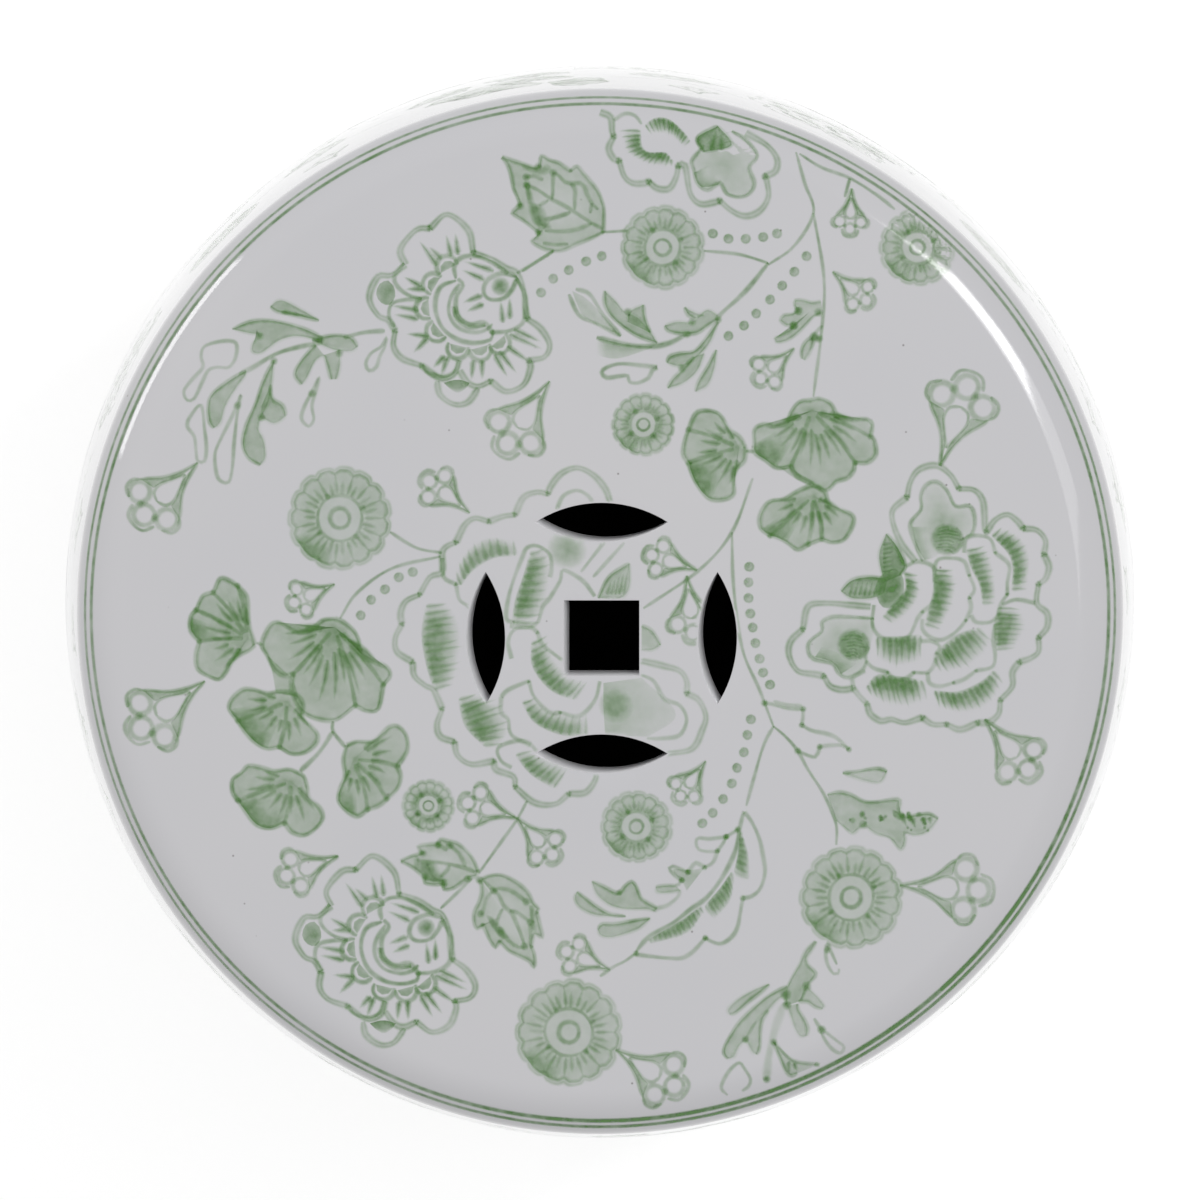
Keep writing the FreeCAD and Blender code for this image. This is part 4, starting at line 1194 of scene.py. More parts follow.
# Serrated leaves. Toothed leaves with a drawn midrib and veins; the wash gathers along one
# flank and in the notches, and the panels between the veins stay pale.
LEAF_TOP = (
    (-11, 117),
    [(-28.3, 131.5), (-24, 130.1), (-21.3, 129.2), (-18.7, 128.4), (-17.4, 128.9), (-17.4, 128.9),
     (-16.9, 131.9), (-14.7, 130.7), (-12, 129.9), (-10.4, 128.8), (-8.5, 127.5), (-8.5, 127.5),
     (-6.7, 128.9), (-4.8, 126.8), (-2.7, 124.4), (-0.8, 122), (0.4, 119.3), (1.1, 116.7), (1.1, 113.2),
     (0.9, 109.9), (0.9, 109.9), (-2.7, 108.1), (-6.7, 106.5), (-10.7, 104.7), (-13.6, 104.4),
     (-13.6, 104.4), (-17.1, 105.5), (-19.7, 107.3), (-18.1, 108.4), (-17.6, 109.7), (-17.6, 109.7),
     (-20.3, 111.9), (-22.7, 113.7), (-25.2, 115.3), (-24.8, 116.1), (-23, 117.7), (-23, 117.7),
     (-24, 120.5), (-24.9, 122.5), (-25.5, 126), (-26.7, 129.5), (-28.3, 131.5)],
    [[(0.9, 110.8), (-2.7, 112.7), (-6.7, 115.3), (-11.2, 118), (-13.9, 119.3), (-17.6, 121.9),
      (-21.3, 123.5)], [(-13.8, 119.3), (-13.6, 121.5), (-13.6, 124), (-13.3, 127.1)],
     [(-7.2, 116.4), (-7.3, 119.3), (-7.2, 122.3), (-8.5, 123.9)],
     [(-21.1, 125.9), (-18.7, 126), (-16.3, 124.9)],
     [(-13.3, 127.1), (-11.7, 126), (-10.1, 124.4), (-8, 123.9), (-5.9, 124), (-4.5, 122.8),
      (-3.7, 120.7), (-2.4, 118.3), (-0.5, 116.4)], [(-2.4, 118.3), (-2.8, 115.3)],
     [(-8.5, 115.6), (-12.3, 114.3), (-16, 113.5)],
     [(-2.4, 112.4), (-6.4, 110.8), (-10.7, 110.1), (-16, 110.3)], [(-14.9, 119.1), (-17.6, 117.5)],
     [(-16.5, 106.8), (-13, 106.3), (-9.1, 106.5)]],
    [([(-21, 119), (-20.5, 115), (-18.5, 111)], [(-16, 117.5), (-15, 114), (-13.5, 110.5)], 0.95),
     ([(-22, 124.5), (-21.5, 121), (-21, 118)], [(-20.3, 124), (-19.3, 120.5), (-18.5, 117.5)], 0.7),
     ([(-23, 130), (-18, 128.5), (-15.5, 130)], [(-22, 127.5), (-17, 126), (-13, 127.5)], 0.6)],
    [(-17.9, 128.7), (-23, 117.5), (-17.7, 109.8), (-21.2, 125.8), (-13.4, 127), (-21.1, 123.4)])
LEAF_LEFT = (
    (-45, -71.5),
    [(-57.5, -71.5), (-54.8, -70.2), (-51.3, -69.2), (-51.3, -69.2), (-52.5, -67.3), (-49.5, -66.7),
     (-46.8, -66.6), (-46.8, -66.6), (-46, -65.3), (-43.5, -65.8), (-40.8, -66.6), (-38.4, -68.7),
     (-36.5, -71.2), (-35.3, -74.3), (-35.3, -74.3), (-35.8, -75.7), (-37.9, -76.3), (-37.9, -76.3),
     (-39.8, -77.5), (-42.2, -79.2), (-45, -79.7), (-45.2, -78), (-45.2, -78), (-47.7, -78.3),
     (-50.6, -77.8), (-50.5, -76.2), (-50.5, -76.2), (-52.9, -74.1), (-54.8, -72.8), (-57.5, -71.5)],
    [[(-52.9, -71.2), (-47.7, -71.7), (-42.8, -72.5), (-38.8, -73.5), (-36.1, -74.6)],
     [(-43.5, -66.8), (-41, -69), (-39.6, -71.2), (-38.9, -73.2)], [(-46.8, -66.7), (-44, -68.3)],
     [(-43.5, -72.7), (-44.3, -74.3), (-46, -76)], [(-52.8, -70), (-53, -74)]],
    [([(-52.8, -70.8), (-52.6, -74), (-50, -77.2), (-45.5, -77.8)],
      [(-47, -71.5), (-46.5, -73.5), (-45.5, -75.5), (-43.5, -77)], 0.95)],
    [(-51.2, -69.2), (-46.7, -66.8), (-43.3, -66.9), (-50.4, -76.2), (-45.1, -78), (-38.1, -76.6),
     (-34.8, -77)])
LEAF_RIGHT = (
    (-27, -87),
    [(-34.5, -76.9), (-34.1, -80.3), (-34.8, -83.3), (-36.2, -86.1), (-36.4, -88.9), (-35.5, -91),
     (-33.8, -89.8), (-33.8, -89.8), (-32.7, -92.2), (-31.5, -94.7), (-30.2, -96.5), (-29, -94.6),
     (-29, -94.6), (-27.5, -96.2), (-26, -97.6), (-22.9, -99), (-20.1, -100.5), (-19, -102.1),
     (-18.9, -98.7), (-19.8, -96.2), (-19.8, -96.2), (-18.9, -92.5), (-16.7, -93.5), (-17.4, -90.1),
     (-18.3, -86.4), (-18.3, -86.4), (-17.7, -85.2), (-19.2, -83.7), (-20.4, -81.2), (-22.3, -79),
     (-25.3, -76.9), (-28.7, -75.5), (-31.8, -75.7), (-34.2, -76.7)],
    [[(-33.6, -77.2), (-31.2, -79.4), (-29.3, -81.2), (-27.8, -84.3), (-25.6, -86.4), (-24.1, -89.5),
      (-22.9, -92.5), (-21.8, -95.6)],
     [(-30.9, -80), (-29, -79.4), (-26.3, -79.8), (-23.8, -81.2), (-21.7, -83)],
     [(-26, -85.8), (-23.8, -86.4), (-21.7, -87.9), (-20.1, -89.2)],
     [(-31.2, -80.3), (-33, -82.7), (-33.6, -85.2), (-34.2, -87)],
     [(-28.1, -85.2), (-29.3, -87.6), (-29.9, -90.1)],
     [(-28.5, -91.5), (-26.3, -94.5), (-24, -96.1), (-21.8, -96.6)],
     [(-20.2, -89.5), (-20, -93), (-20.3, -96)]],
    [([(-33, -87), (-31.5, -90.5), (-28.5, -94.5)], [(-30.8, -87.5), (-28.6, -90), (-26, -93.5)], 0.85),
     ([(-20.6, -84), (-20.3, -88), (-19.8, -92)], [(-18.9, -84.5), (-18.5, -88), (-18, -92)], 0.7)],
    [(-21.3, -83.2), (-34.5, -86.7), (-28.7, -91.6), (-20.1, -89.2), (-21.8, -96.1), (-30.8, -80)])


def serrated(t, plan):
    """One toothed leaf."""
    hub, edge, veins, shades, spots = plan
    points = [point for place, point in enumerate(edge) if place == 0 or point != edge[place - 1]]
    t.fan(hub, points, [0.16, 0.18, 0.26, 0.36, 0.38], False)
    for one, other, ink in shades:
        t.wash(one, other, [0.1, ink * 0.85, ink, ink * 0.6, 0.05], (0.3, 0.3))
    t.lobes(edge, 0.9, 0.7, False, 0.5)
    for vein in veins:
        t.line(vein, 0.9, 0.68)
    for spot in spots:
        t.blot(spot, 1.0, 0.85)


leaves = Transfer("seat_print_serrated_leaves", on_seat, off_seat)
for plan in (LEAF_TOP, LEAF_LEFT, LEAF_RIGHT):
    serrated(leaves, plan)
leaves.lay()

# Scalloped spray. A long half leaf, combed along its spine and scalloped on its outer side,
# with soft sprigs on the other side of the stalk.
SPINE = [(41.5, -57), (40.3, -62), (39.3, -67.7), (37.2, -72.7), (34.3, -77.6), (30.6, -82.2), (26, -85.5),
         (21.1, -89.3), (15.3, -92.6), (12.4, -95.1), (10.3, -98)]
SCALLOPS = [
    (10.3, -98.4), (14.5, -99), (19.4, -99.5), (23.6, -99.5), (26.4, -98), (28.5, -95.9), (30.4, -93.7),
    (30.4, -93.7), (32.6, -94.9), (35.1, -95.3), (38, -93.4), (39.7, -90.5), (40.5, -86.3), (41.2, -82.2),
    (41.2, -82.2), (43.8, -81.6), (46.3, -79.3), (47.6, -74.7), (47.1, -70.2), (45.9, -64.8),
    (43.8, -60.2), (41.7, -57.3)]
SPINE_COMBS = [
    ([(40.2, -63.5), (39.8, -69), (38.6, -74.5)], [(41.2, -63.5), (43, -70), (43.2, -77)], 8),
    ([(37.8, -74.5), (34.8, -79), (30.2, -84.3)], [(38.6, -78.5), (37.4, -83.5), (33, -88.3)], 9),
    ([(28.8, -84.6), (23, -88.8), (14.5, -93.8)], [(30, -86.5), (25, -92.5), (14.6, -95.5)], 13)]
STALK_LEFT = [
    (39.8, -62.4), (36.4, -64.4), (36.4, -64.4), (35.5, -66.3), (33.9, -68.5), (33.9, -68.5), (32.6, -71.8),
    (30.2, -73.3), (30.2, -73.3), (27.7, -72), (26.4, -73.3), (25.4, -74.7), (25.4, -74.7), (23.6, -73.9),
    (21.1, -72.9), (20, -73.5), (21.1, -75.1), (23.6, -77), (23.6, -77), (22.6, -78.2), (21.9, -78.5)]
SPRIGS = [
    ([(16.5, -85.1), (12.8, -83), (11.6, -81.8), (10.5, -78.9), (9.1, -77.3), (7, -78.9), (5.8, -80.7),
      (3.7, -80.3), (1.2, -78.9), (-2.3, -77.3)],
     [(15.7, -86.1), (13.6, -85.3), (8.7, -85.3), (4.5, -84.7), (1.2, -83), (-1.2, -80.5),
      (-2.3, -77.3)]),
    ([(7.4, -87.4), (2.9, -86.8), (-0.4, -85.1), (-3.7, -82.6), (-6.6, -80.3)],
     [(7.4, -87.4), (0.4, -87.2), (-3.3, -86.3), (-6.4, -84.3), (-7.4, -81.8), (-6.6, -80.3)]),
    ([(14.5, -88), (10.3, -88.6), (4.5, -89.7), (0.4, -89.7), (-0.6, -91.3)],
     [(14.5, -88), (11.2, -90.9), (6.6, -92.6), (2.9, -93.5), (0, -92.9), (-0.6, -91.3)]),
    ([(21.9, -78.5), (18.6, -78.5), (16.1, -78.9)],
     [(23.1, -79.9), (20.2, -80.5), (16.5, -80.5), (16.1, -78.9)])]


def scalloped_spray(t):
    """The spray that hangs under the small daisy."""
    for base, tips, count in SPINE_COMBS:
        t.wash(base, tips, [0.3, 0.42, 0.45, 0.42, 0.3, 0], (0.2, 0.4))
        t.comb(base, tips, count, 0.6)
    t.line(SPINE, 1.0, 0.8)
    t.lobes(SCALLOPS, 0.9, 0.65, False, 0.8)
    t.lobes(STALK_LEFT, 0.9, 0.65, False, 0.7)
    t.wash([(30.2, -73.3), (26.4, -74), (21.1, -73.6)], [(25, -80), (23.8, -77.5), (21.5, -75.2)],
           [0.3, 0.42, 0.4, 0.35])
    t.line([(36.4, -64.4), (31.8, -65), (28.5, -64.8), (27.7, -66), (28.5, -68.1), (31.4, -68.7),
            (33.9, -68.5)], 0.8, 0.55)
    t.line([(23.1, -79.7), (22.6, -81.6), (19.4, -84.3), (16.5, -85.1), (15.7, -86.1)], 0.9, 0.55)
    for one, other in SPRIGS:
        t.leaf(one, other, 0.42, 0.7)
    for spot in ((39.7, -62.3), (36.4, -64.4), (25.4, -74.6), (23.7, -77), (5.6, -80.5), (10.4, -98.2)):
        t.blot(spot, 0.8, 0.8)


print_on_seat("scalloped_spray", scalloped_spray)

# Vine leaves. An open zigzag leaf, a small closed one, a mottled one with a torn edge, and the
# lobed leaf and its bud high on the vine.
ZIGZAG = [
    (47.4, -25.8), (50, -26.2), (54, -27.3), (58.6, -27.5), (58.6, -27.5), (58.5, -30), (58.2, -32.2),
    (58.2, -32.2), (61.2, -33.8), (65.2, -34.6), (68.4, -36), (71.8, -39.2), (71.8, -39.2), (70, -38.1),
    (66.8, -38), (63.4, -38.4), (63.4, -38.4), (62.8, -40.4), (62, -41.4), (59.6, -40.8), (57, -39.6)]
MOTTLED_TOP = [
    (65.6, -52.2), (69.2, -51.6), (72.4, -52.4), (76, -54.2), (79.6, -54.4), (84, -53.8), (86.4, -54),
    (86.2, -57), (88, -58.6), (92, -58), (95, -57.8), (97.6, -59.2)]
MOTTLED_FOOT = [
    (68, -59.6), (70.4, -61.6), (73, -63.5), (76, -61.2), (79.6, -63.6), (83.6, -64.8), (86.8, -68.2),
    (88.2, -65.2), (87.8, -63.2), (90.5, -64), (94.5, -63), (97.6, -59.2)]
LOBED = [(63.6, 90), (61, 89.6), (58.5, 90.3), (56.3, 90.3), (56, 88.8), (57, 87.3), (57, 87.3), (55.4, 86.3),
         (53, 86), (52, 84.5), (53.5, 83.2), (55.8, 83), (55.8, 83), (55, 81.5), (52.5, 80.3), (50.3, 79.3),
         (50.8, 78.2), (53.5, 78.6), (56.5, 80.5), (59, 83), (61.5, 85.6), (63.6, 86.6)]
MOTTLES = 26


def vine_leaves(t):
    """The loose leaves of the right-hand vine."""
    t.lobes(ZIGZAG, 0.9, 0.62, False, 0.8)
    t.line([(50, -25.2), (54, -26.3), (58.3, -26.5)], 0.7, 0.45)
    t.leaf([(70, -46), (74, -45.6), (78, -44.9), (80.8, -44.8), (82.8, -45.6)],
           [(70, -46), (73.2, -47.2), (76.4, -48.2), (80.8, -48.7), (82.8, -45.6)], 0.3, 0.7)
    t.wash(MOTTLED_TOP, MOTTLED_FOOT, [0.5, 0.42, 0.36, 0.38, 0.45, 0.35], (1, 0.5))
    t.line(MOTTLED_TOP, 0.9, 0.7)
    t.line(MOTTLED_FOOT, 0.7, 0.4)
    for _ in range(MOTTLES):
        share = t.chance.random()
        spot = (69 + 26 * share, -55.5 - 2.5 * share - t.chance.uniform(0, 5))
        t.disc(spot, t.chance.uniform(0.5, 1.1), [0.7, 0.5, 0], 6)
    for foot, tip in (((87, -58), (88.5, -61.5)), ((90, -59), (91, -62)), ((93, -58.8), (94, -62)),
                      ((95, -58.8), (95.5, -61)), ((85.5, -57), (84.5, -58.5))):
        t.hatch(foot, tip, 1.2, 0.85)
    t.fan((60.5, 87), LOBED, [0.36, 0.36, 0.38, 0.4])
    t.lobes(LOBED, 0.7, 0.55, False, 1.0)
    t.leaf([(61.5, 80), (59, 78), (58, 75.5), (58.2, 73.4)],
           [(61.5, 80), (61.3, 77.5), (60.3, 75), (58.9, 73)], 0.4, 0.75)
    t.hatch((61.6, 79.6), (60.6, 75.6), 1.4, 0.7)
    t.line([(64, 83), (62.6, 81.5), (61.3, 80)], 0.9, 0.65)
    for spot in ((57.3, 87.2), (55.9, 83), (63, 86.8), (61.7, 79.9), (63, 79.3), (76, -61), (86.6, -58.4)):
        t.blot(spot, 1.1, 0.9)
    t.blot((57, -39.6), 0.9)
    t.blot((47.4, -25.8), 0.9)


print_on_seat("vine_leaves", vine_leaves)

# Bottom spray. Long soft lobes that hang from a broad stalk, loops left open beside them, and
# a small sprig that reaches down to the ring.
BODY_LEFT = [
    (62, -94.5), (59.2, -97.7), (57.8, -101), (56.4, -103.5), (54.9, -106.2), (53.4, -110.1),
    (54, -113.4)]
BODY_RIGHT = [
    (62.6, -94.8), (60.9, -97.5), (59.5, -99.6), (60, -101.6), (62.4, -104), (61.5, -105.6),
    (59.7, -107.7), (58.2, -111.8)]
SPRAY_LOBES = [
    ([(54, -107.7), (51, -109.2), (48, -111), (44.4, -114), (40.5, -117.9), (37.8, -121.8), (36, -125.1),
      (35.7, -127.2), (36.9, -128.7)],
     [(53.4, -110.1), (51, -111.9), (48.6, -114.6), (45, -118), (42, -123), (39.9, -125.4), (38.7, -128.1),
      (36.9, -128.7)]),
    ([(48.6, -114.6), (46.8, -117.6), (46.3, -121.5), (46.2, -125.1), (45.3, -127.5)],
     [(45, -118), (42.2, -122.8), (42.9, -124.5), (44.1, -126.9), (45.3, -127.5)]),
    ([(48.9, -107.1), (46.5, -109.3), (43.5, -111.6), (41, -113.8), (39, -115.5), (37.5, -115.9)],
     [(48.9, -107.1), (45.6, -108.3), (42, -110.1), (39, -112.2), (36.8, -114.6), (37.5, -115.9)]),
    ([(57.1, -112.8), (57.3, -114.6), (58.8, -117), (60, -120), (59.7, -122.1)],
     [(54, -113.4), (55.2, -116.4), (56.4, -120), (57.9, -122.3), (59.7, -122.1)]),
    ([(57.3, -112.2), (60, -112.2), (62.1, -113.7), (64.2, -114.3)],
     [(59.7, -107.7), (61.2, -109.2), (63, -111), (64.8, -113.4), (64.2, -114.3)])]
SPRAY_LOOPS = [
    [(61.8, -117), (63.9, -120.2), (65.4, -121.2), (68.1, -123.3), (70.5, -125.4), (69.6, -127.2),
     (67.5, -126.3), (65.4, -123.9), (63.7, -120.8)],
    [(68.4, -101.4), (66.9, -98.1), (65.6, -95.5), (65.2, -99), (66, -102), (67.5, -104.1), (68.8, -104),
     (69, -102.6)],
    [(36.9, -139.4), (35.1, -137.4), (35.7, -135), (37.5, -132), (40.2, -129.9), (42, -132),
     (43.5, -134.7), (42.9, -136.8), (41.1, -138.2)]]


def bottom_spray(t):
    """The spray under the right-hand daisy."""
    t.wash(BODY_LEFT, BODY_RIGHT, [0.45, 0.42, 0.45, 0.5, 0.4])
    t.line(BODY_LEFT, 0.7, 0.5)
    t.line(BODY_RIGHT, 0.8, 0.6)
    for one, other in SPRAY_LOBES:
        t.leaf(one, other, 0.4, 0.62)
    for loop in SPRAY_LOOPS:
        t.line(loop, 0.8, 0.6)
    t.line([(53.4, -112.4), (51.6, -117), (50.4, -120.6), (49.5, -124.5), (48.6, -129),
            (48.1, -135.2)], 1.6, 0.42)
    t.wash([(50.1, -123.9), (52.5, -129.6), (53.7, -132.6), (55.2, -133.8)],
           [(50.4, -123.9), (53.4, -126.9), (56.5, -129.6), (63.3, -130.6)], [0.5, 0.35, 0.3, 0.3])
    t.line([(50.1, -123.9), (51, -126), (52.5, -129.6), (54, -132.8), (55.4, -133.8), (57, -132.9)], 0.9, 0.7)
    t.line([(50.4, -124), (53.4, -127.4), (56.1, -129.5), (60, -130.2), (63.6, -130.4)], 0.8, 0.6)
    for foot, tip in (((54.5, -129.5), (54.6, -133)), ((56, -130), (57, -132.6)),
                      ((62, -130.3), (63.6, -131.2))):
        t.hatch(foot, tip, 1.1, 0.8)
    for spot, radius in (((53.6, -110.1), 1.4), ((54, -113.2), 1.1), ((59.7, -107.7), 1.2),
                         ((50.2, -123.9), 0.9), ((48.2, -134.8), 1.0), ((42, -123.1), 0.9),
                         ((64, -120.3), 1.1), ((65.6, -97.2), 0.9)):
        t.blot(spot, radius, 0.9)


print_on_seat("bottom_spray", bottom_spray)

# Trefoil drops. A drop hung from a stalk, open in the middle, with three beads at its foot;
# they fill the gaps between the larger motifs.


def trefoil(t, apex, foot):
    """One drop from its apex to the middle bead at its foot."""
    apex, foot = Vector(apex), Vector(foot)
    long = (foot - apex).length
    way = (foot - apex) / long
    side = Vector((-way.y, way.x))
    def at(along, across):
        return apex + (way * along + side * across) * long
    bead = 0.135 * long
    for hand in (-1, 1):
        outer = [at(0, 0), at(0.25, 0.07 * hand), at(0.45, 0.17 * hand), at(0.6, 0.3 * hand),
                 at(0.68, 0.36 * hand)]
        inner = [at(0.1, 0), at(0.3, 0.03 * hand), at(0.45, 0.1 * hand), at(0.56, 0.15 * hand),
                 at(0.64, 0.16 * hand)]
        t.wash(outer, inner, [0.42, 0.5, 0.45])
        t.line(outer, 0.8, 0.7)
        t.line([at(0.22, 0), at(0.4, 0.08 * hand), at(0.56, 0.14 * hand), at(0.68, 0.11 * hand), at(0.73, 0)],
               0.7, 0.65)
        t.line(t.circle(at(0.8, 0.25 * hand), bead, 8), 0.05 * long, 0.6, closed=True)
        t.line([at(0.68, 0.36 * hand), at(0.76, 0.43 * hand), at(0.88, 0.42 * hand),
                at(0.95, 0.3 * hand)], 0.8, 0.7)
        t.blot(at(0.9, 0.13 * hand), 0.045 * long, 0.55)
    t.line(t.circle(at(0.97, 0), bead, 8), 0.05 * long, 0.6, closed=True)
    t.line([at(0.98, 0.2), at(1.12, 0.14), at(1.16, 0), at(1.12, -0.14), at(0.98, -0.2)], 0.8, 0.7)


TREFOILS = [
    ((-116, 43.5), (-132, 28)), ((-14.5, 67), (-27, 48.5)), ((-37.5, 29), (-49.5, 38.5)),
    ((-76.5, 8.5), (-88.5, 3)), ((-114, -19.5), (-133, -33.5)), ((72.5, 122.5), (72, 110.5)),
    ((67, 98.5), (77, 90)), ((56, 76.5), (46, 67.5)), ((98, 42.5), (106, 66)), ((28, 12.5), (14.5, 17)),
    ((25, 11), (27, -6)), ((111, -30.5), (124, -45.5)), ((30.5, -42.5), (23, -53)),
    ((-24, -59), (-38.5, -54.5)), ((-24, -59), (-13.5, -70)), ((-75.5, -70), (-91, -76)),
    ((3, -103), (-10, -97.5)), ((4.5, -126), (22, -137)), ((86.5, -78.5), (110, -80))]
drops = Transfer("seat_print_trefoils", on_seat, off_seat)
for apex, foot in TREFOILS:
    trefoil(drops, apex, foot)
drops.lay()

# Beads. Rows of round beads that run beside the vines, each with a dark rim and a second
# touch of ink beside its middle.
BEAD_RADIUS = 1.65
BEAD_ROWS = [
    [(-17, 92.5), (-13.5, 96.5), (-9, 99), (-4, 101.5), (0.5, 103)],
    [(32.5, 109.5), (37, 108), (42, 108), (47, 108.5), (51, 109.5)],
    [(59.5, 103), (56, 98.5), (52.5, 94.5), (49, 90.5), (45, 86.5), (41.5, 83), (37, 80)],
    [(-54, 12), (-58, 10.5), (-62, 7), (-66, 4), (-69, -0.5)],
    [(43, 13.5), (42.8, 9), (42.8, 4.5), (43.3, 0), (44, -4), (44.8, -8.5), (46, -13), (47, -17),
     (49, -20.5)],
    [(43.5, -30.5), (42.5, -35), (41.5, -40), (39.5, -44.5), (38, -49), (35.5, -53.5), (32.5, -57.5),
     (29.5, -60.5)]]


def bead(t, centre):
    """One bead."""
    t.disc(centre, BEAD_RADIUS, [0.36, 0.4, 0.5, 0.62, 0], 9)
    touch = (centre[0] - 0.25 * BEAD_RADIUS, centre[1] + 0.2 * BEAD_RADIUS)
    t.disc(touch, BEAD_RADIUS * 0.6, [0.4, 0.25, 0], 8)


beads = Transfer("seat_print_beads", on_seat, off_seat)
for row in BEAD_ROWS:
    for centre in row:
        bead(beads, centre)
beads.lay()

# Vines. Thin stalks that tie the sprays together, each drawn in one stroke that is a little
# thinner than the outlines of the blooms.
VINES = [
    [(-24, 98), (-19, 101), (-13.5, 104.3)], [(72, 125.5), (71.5, 123.5), (70.5, 120)],
    [(30, 104.5), (40, 103.5), (48.5, 101)],
    [(56.5, 133), (59, 124), (61.5, 115.5), (56, 106), (48.5, 100.5)],
    [(57.5, 132.5), (64, 128.5), (72, 125.5), (80, 120.5), (85, 116.5)],
    [(61.5, 115.5), (64.5, 97), (64, 83), (61.5, 62.5)], [(-60.5, 23.5), (-53, 19), (-45.5, 17.5)],
    [(-46, 16.5), (-60, 13), (-70, 6), (-75, -1.5)], [(44, 39), (38, 23.5), (28.5, 12.5), (12.5, 1.5)],
    [(38, 23.5), (38.5, 8), (41, -10), (46, -22), (50, -32.5)],
    [(50, -32.5), (47.2, -38), (44.5, -47), (42.2, -55.5)],
    [(10.3, -98.2), (7, -100.5), (4, -102), (0, -104.8)],
    [(50, -32.5), (53.6, -35.6), (57, -39.6), (60, -45), (64.5, -52), (67.2, -58), (68.3, -62),
     (68.2, -66.8)], [(-21, -54), (-24, -59.5), (-30, -68), (-35, -75)],
    [(-37, -76.5), (-41.6, -81), (-46, -85.2)], [(0.9, 109.9), (8, 110.3)],
    [(-13.6, 104.4), (-18, 101.5), (-22.4, 98.5)]]
vines = Transfer("seat_print_vines", on_seat, off_seat)
for route in VINES:
    vines.line(route, 0.72, 0.74)
vines.lay()

# Side print. The same transfers again, laid twice round the barrel from one sheet, so that each
# half starts at a hand-hold and its upper edge comes close under the rings.
SIDE_TOP = 436.0
SIDE_FOOT = 22.0
HALF_ROUND = math.pi * BELLY / MM
SHEET_MOTIFS = {
    "open_peony": (right_peony, (92, 5)), "full_peony": (centre_peony, (-15, -5)),
    "camellia": (camellia, UPPER_CAMELLIA), "five_ginkgo": (ginkgo_left, (-87, -27)),
    "three_ginkgo": (ginkgo_right, (52, 42)), "left_fronds": (fronds_left, (-92, 65)),
    "middle_fronds": (fronds_middle, (18, 80)), "scalloped_spray": (scalloped_spray, (20, -80)),
    "bottom_spray": (bottom_spray, (52, -116)),
    "serrated_leaf": (lambda t: serrated(t, LEAF_TOP), (-11, 117))}
SHEET = {
    "peonies": [
        ("open_peony", (180, 392), 0.4, 0.85), ("full_peony", (8, 300), 0.0, 1.0),
        ("open_peony", (320, 300), -0.6, 1.0), ("open_peony", (130, 228), 0.9, 1.05),
        ("full_peony", (415, 215), 1.2, 0.8)],
    "lower_peonies": [
        ("full_peony", (190, 138), -0.4, 0.85), ("open_peony", (372, 132), -0.9, 0.95),
        ("open_peony", (45, 66), 0.3, 0.9)],
    "camellias": [
        ("camellia", (443, 392), -0.5, 1.0), ("camellia", (112, 316), 0.6, 1.0),
        ("camellia", (302, 218), 2.4, 1.0), ("camellia", (20, 142), 0.2, 1.05),
        ("camellia", (182, 62), 1.1, 1.0), ("camellia", (385, 62), -0.8, 1.0),
        ("camellia", (420, 292), 1.9, 0.9)],
    "ginkgos": [
        ("five_ginkgo", (288, 392), 0.0, 1.0), ("three_ginkgo", (172, 312), -0.4, 1.0),
        ("three_ginkgo", (30, 218), 1.0, 1.0), ("five_ginkgo", (246, 222), 0.5, 1.0),
        ("three_ginkgo", (262, 150), 0.3, 1.0), ("five_ginkgo", (482, 150), 0.9, 0.95),
        ("three_ginkgo", (135, 62), 0.6, 1.0), ("five_ginkgo", (282, 68), 0.2, 0.95)],
    "sprays": [
        ("bottom_spray", (36, 396), 0.5, 0.95), ("middle_fronds", (86, 356), 0.3, 1.0),
        ("scalloped_spray", (234, 320), 0.5, 1.0), ("left_fronds", (388, 336), 0.2, 1.0),
        ("bottom_spray", (192, 240), 0.3, 1.0), ("middle_fronds", (488, 236), -0.5, 1.1),
        ("left_fronds", (120, 142), 0.5, 1.0), ("scalloped_spray", (318, 156), 0.2, 0.95),
        ("middle_fronds", (232, 84), -0.3, 1.1), ("left_fronds", (440, 74), -0.3, 1.0),
        ("serrated_leaf", (238, 374), 0.8, 0.9), ("serrated_leaf", (352, 380), 2.2, 0.9),
        ("serrated_leaf", (70, 196), 0.2, 0.9), ("serrated_leaf", (352, 262), 1.4, 0.9),
        ("serrated_leaf", (442, 168), 2.6, 0.9)]}
SHEET_DAISIES = [
    ((121, 404), 15), ((390, 402), 15), ((72, 262), 12), ((268, 290), 9.5), ((466, 330), 13),
    ((354, 222), 14), ((75, 148), 14.5), ((432, 128), 11), ((98, 80), 12), ((332, 58), 14.5),
    ((490, 66), 13), ((480, 286), 9)]
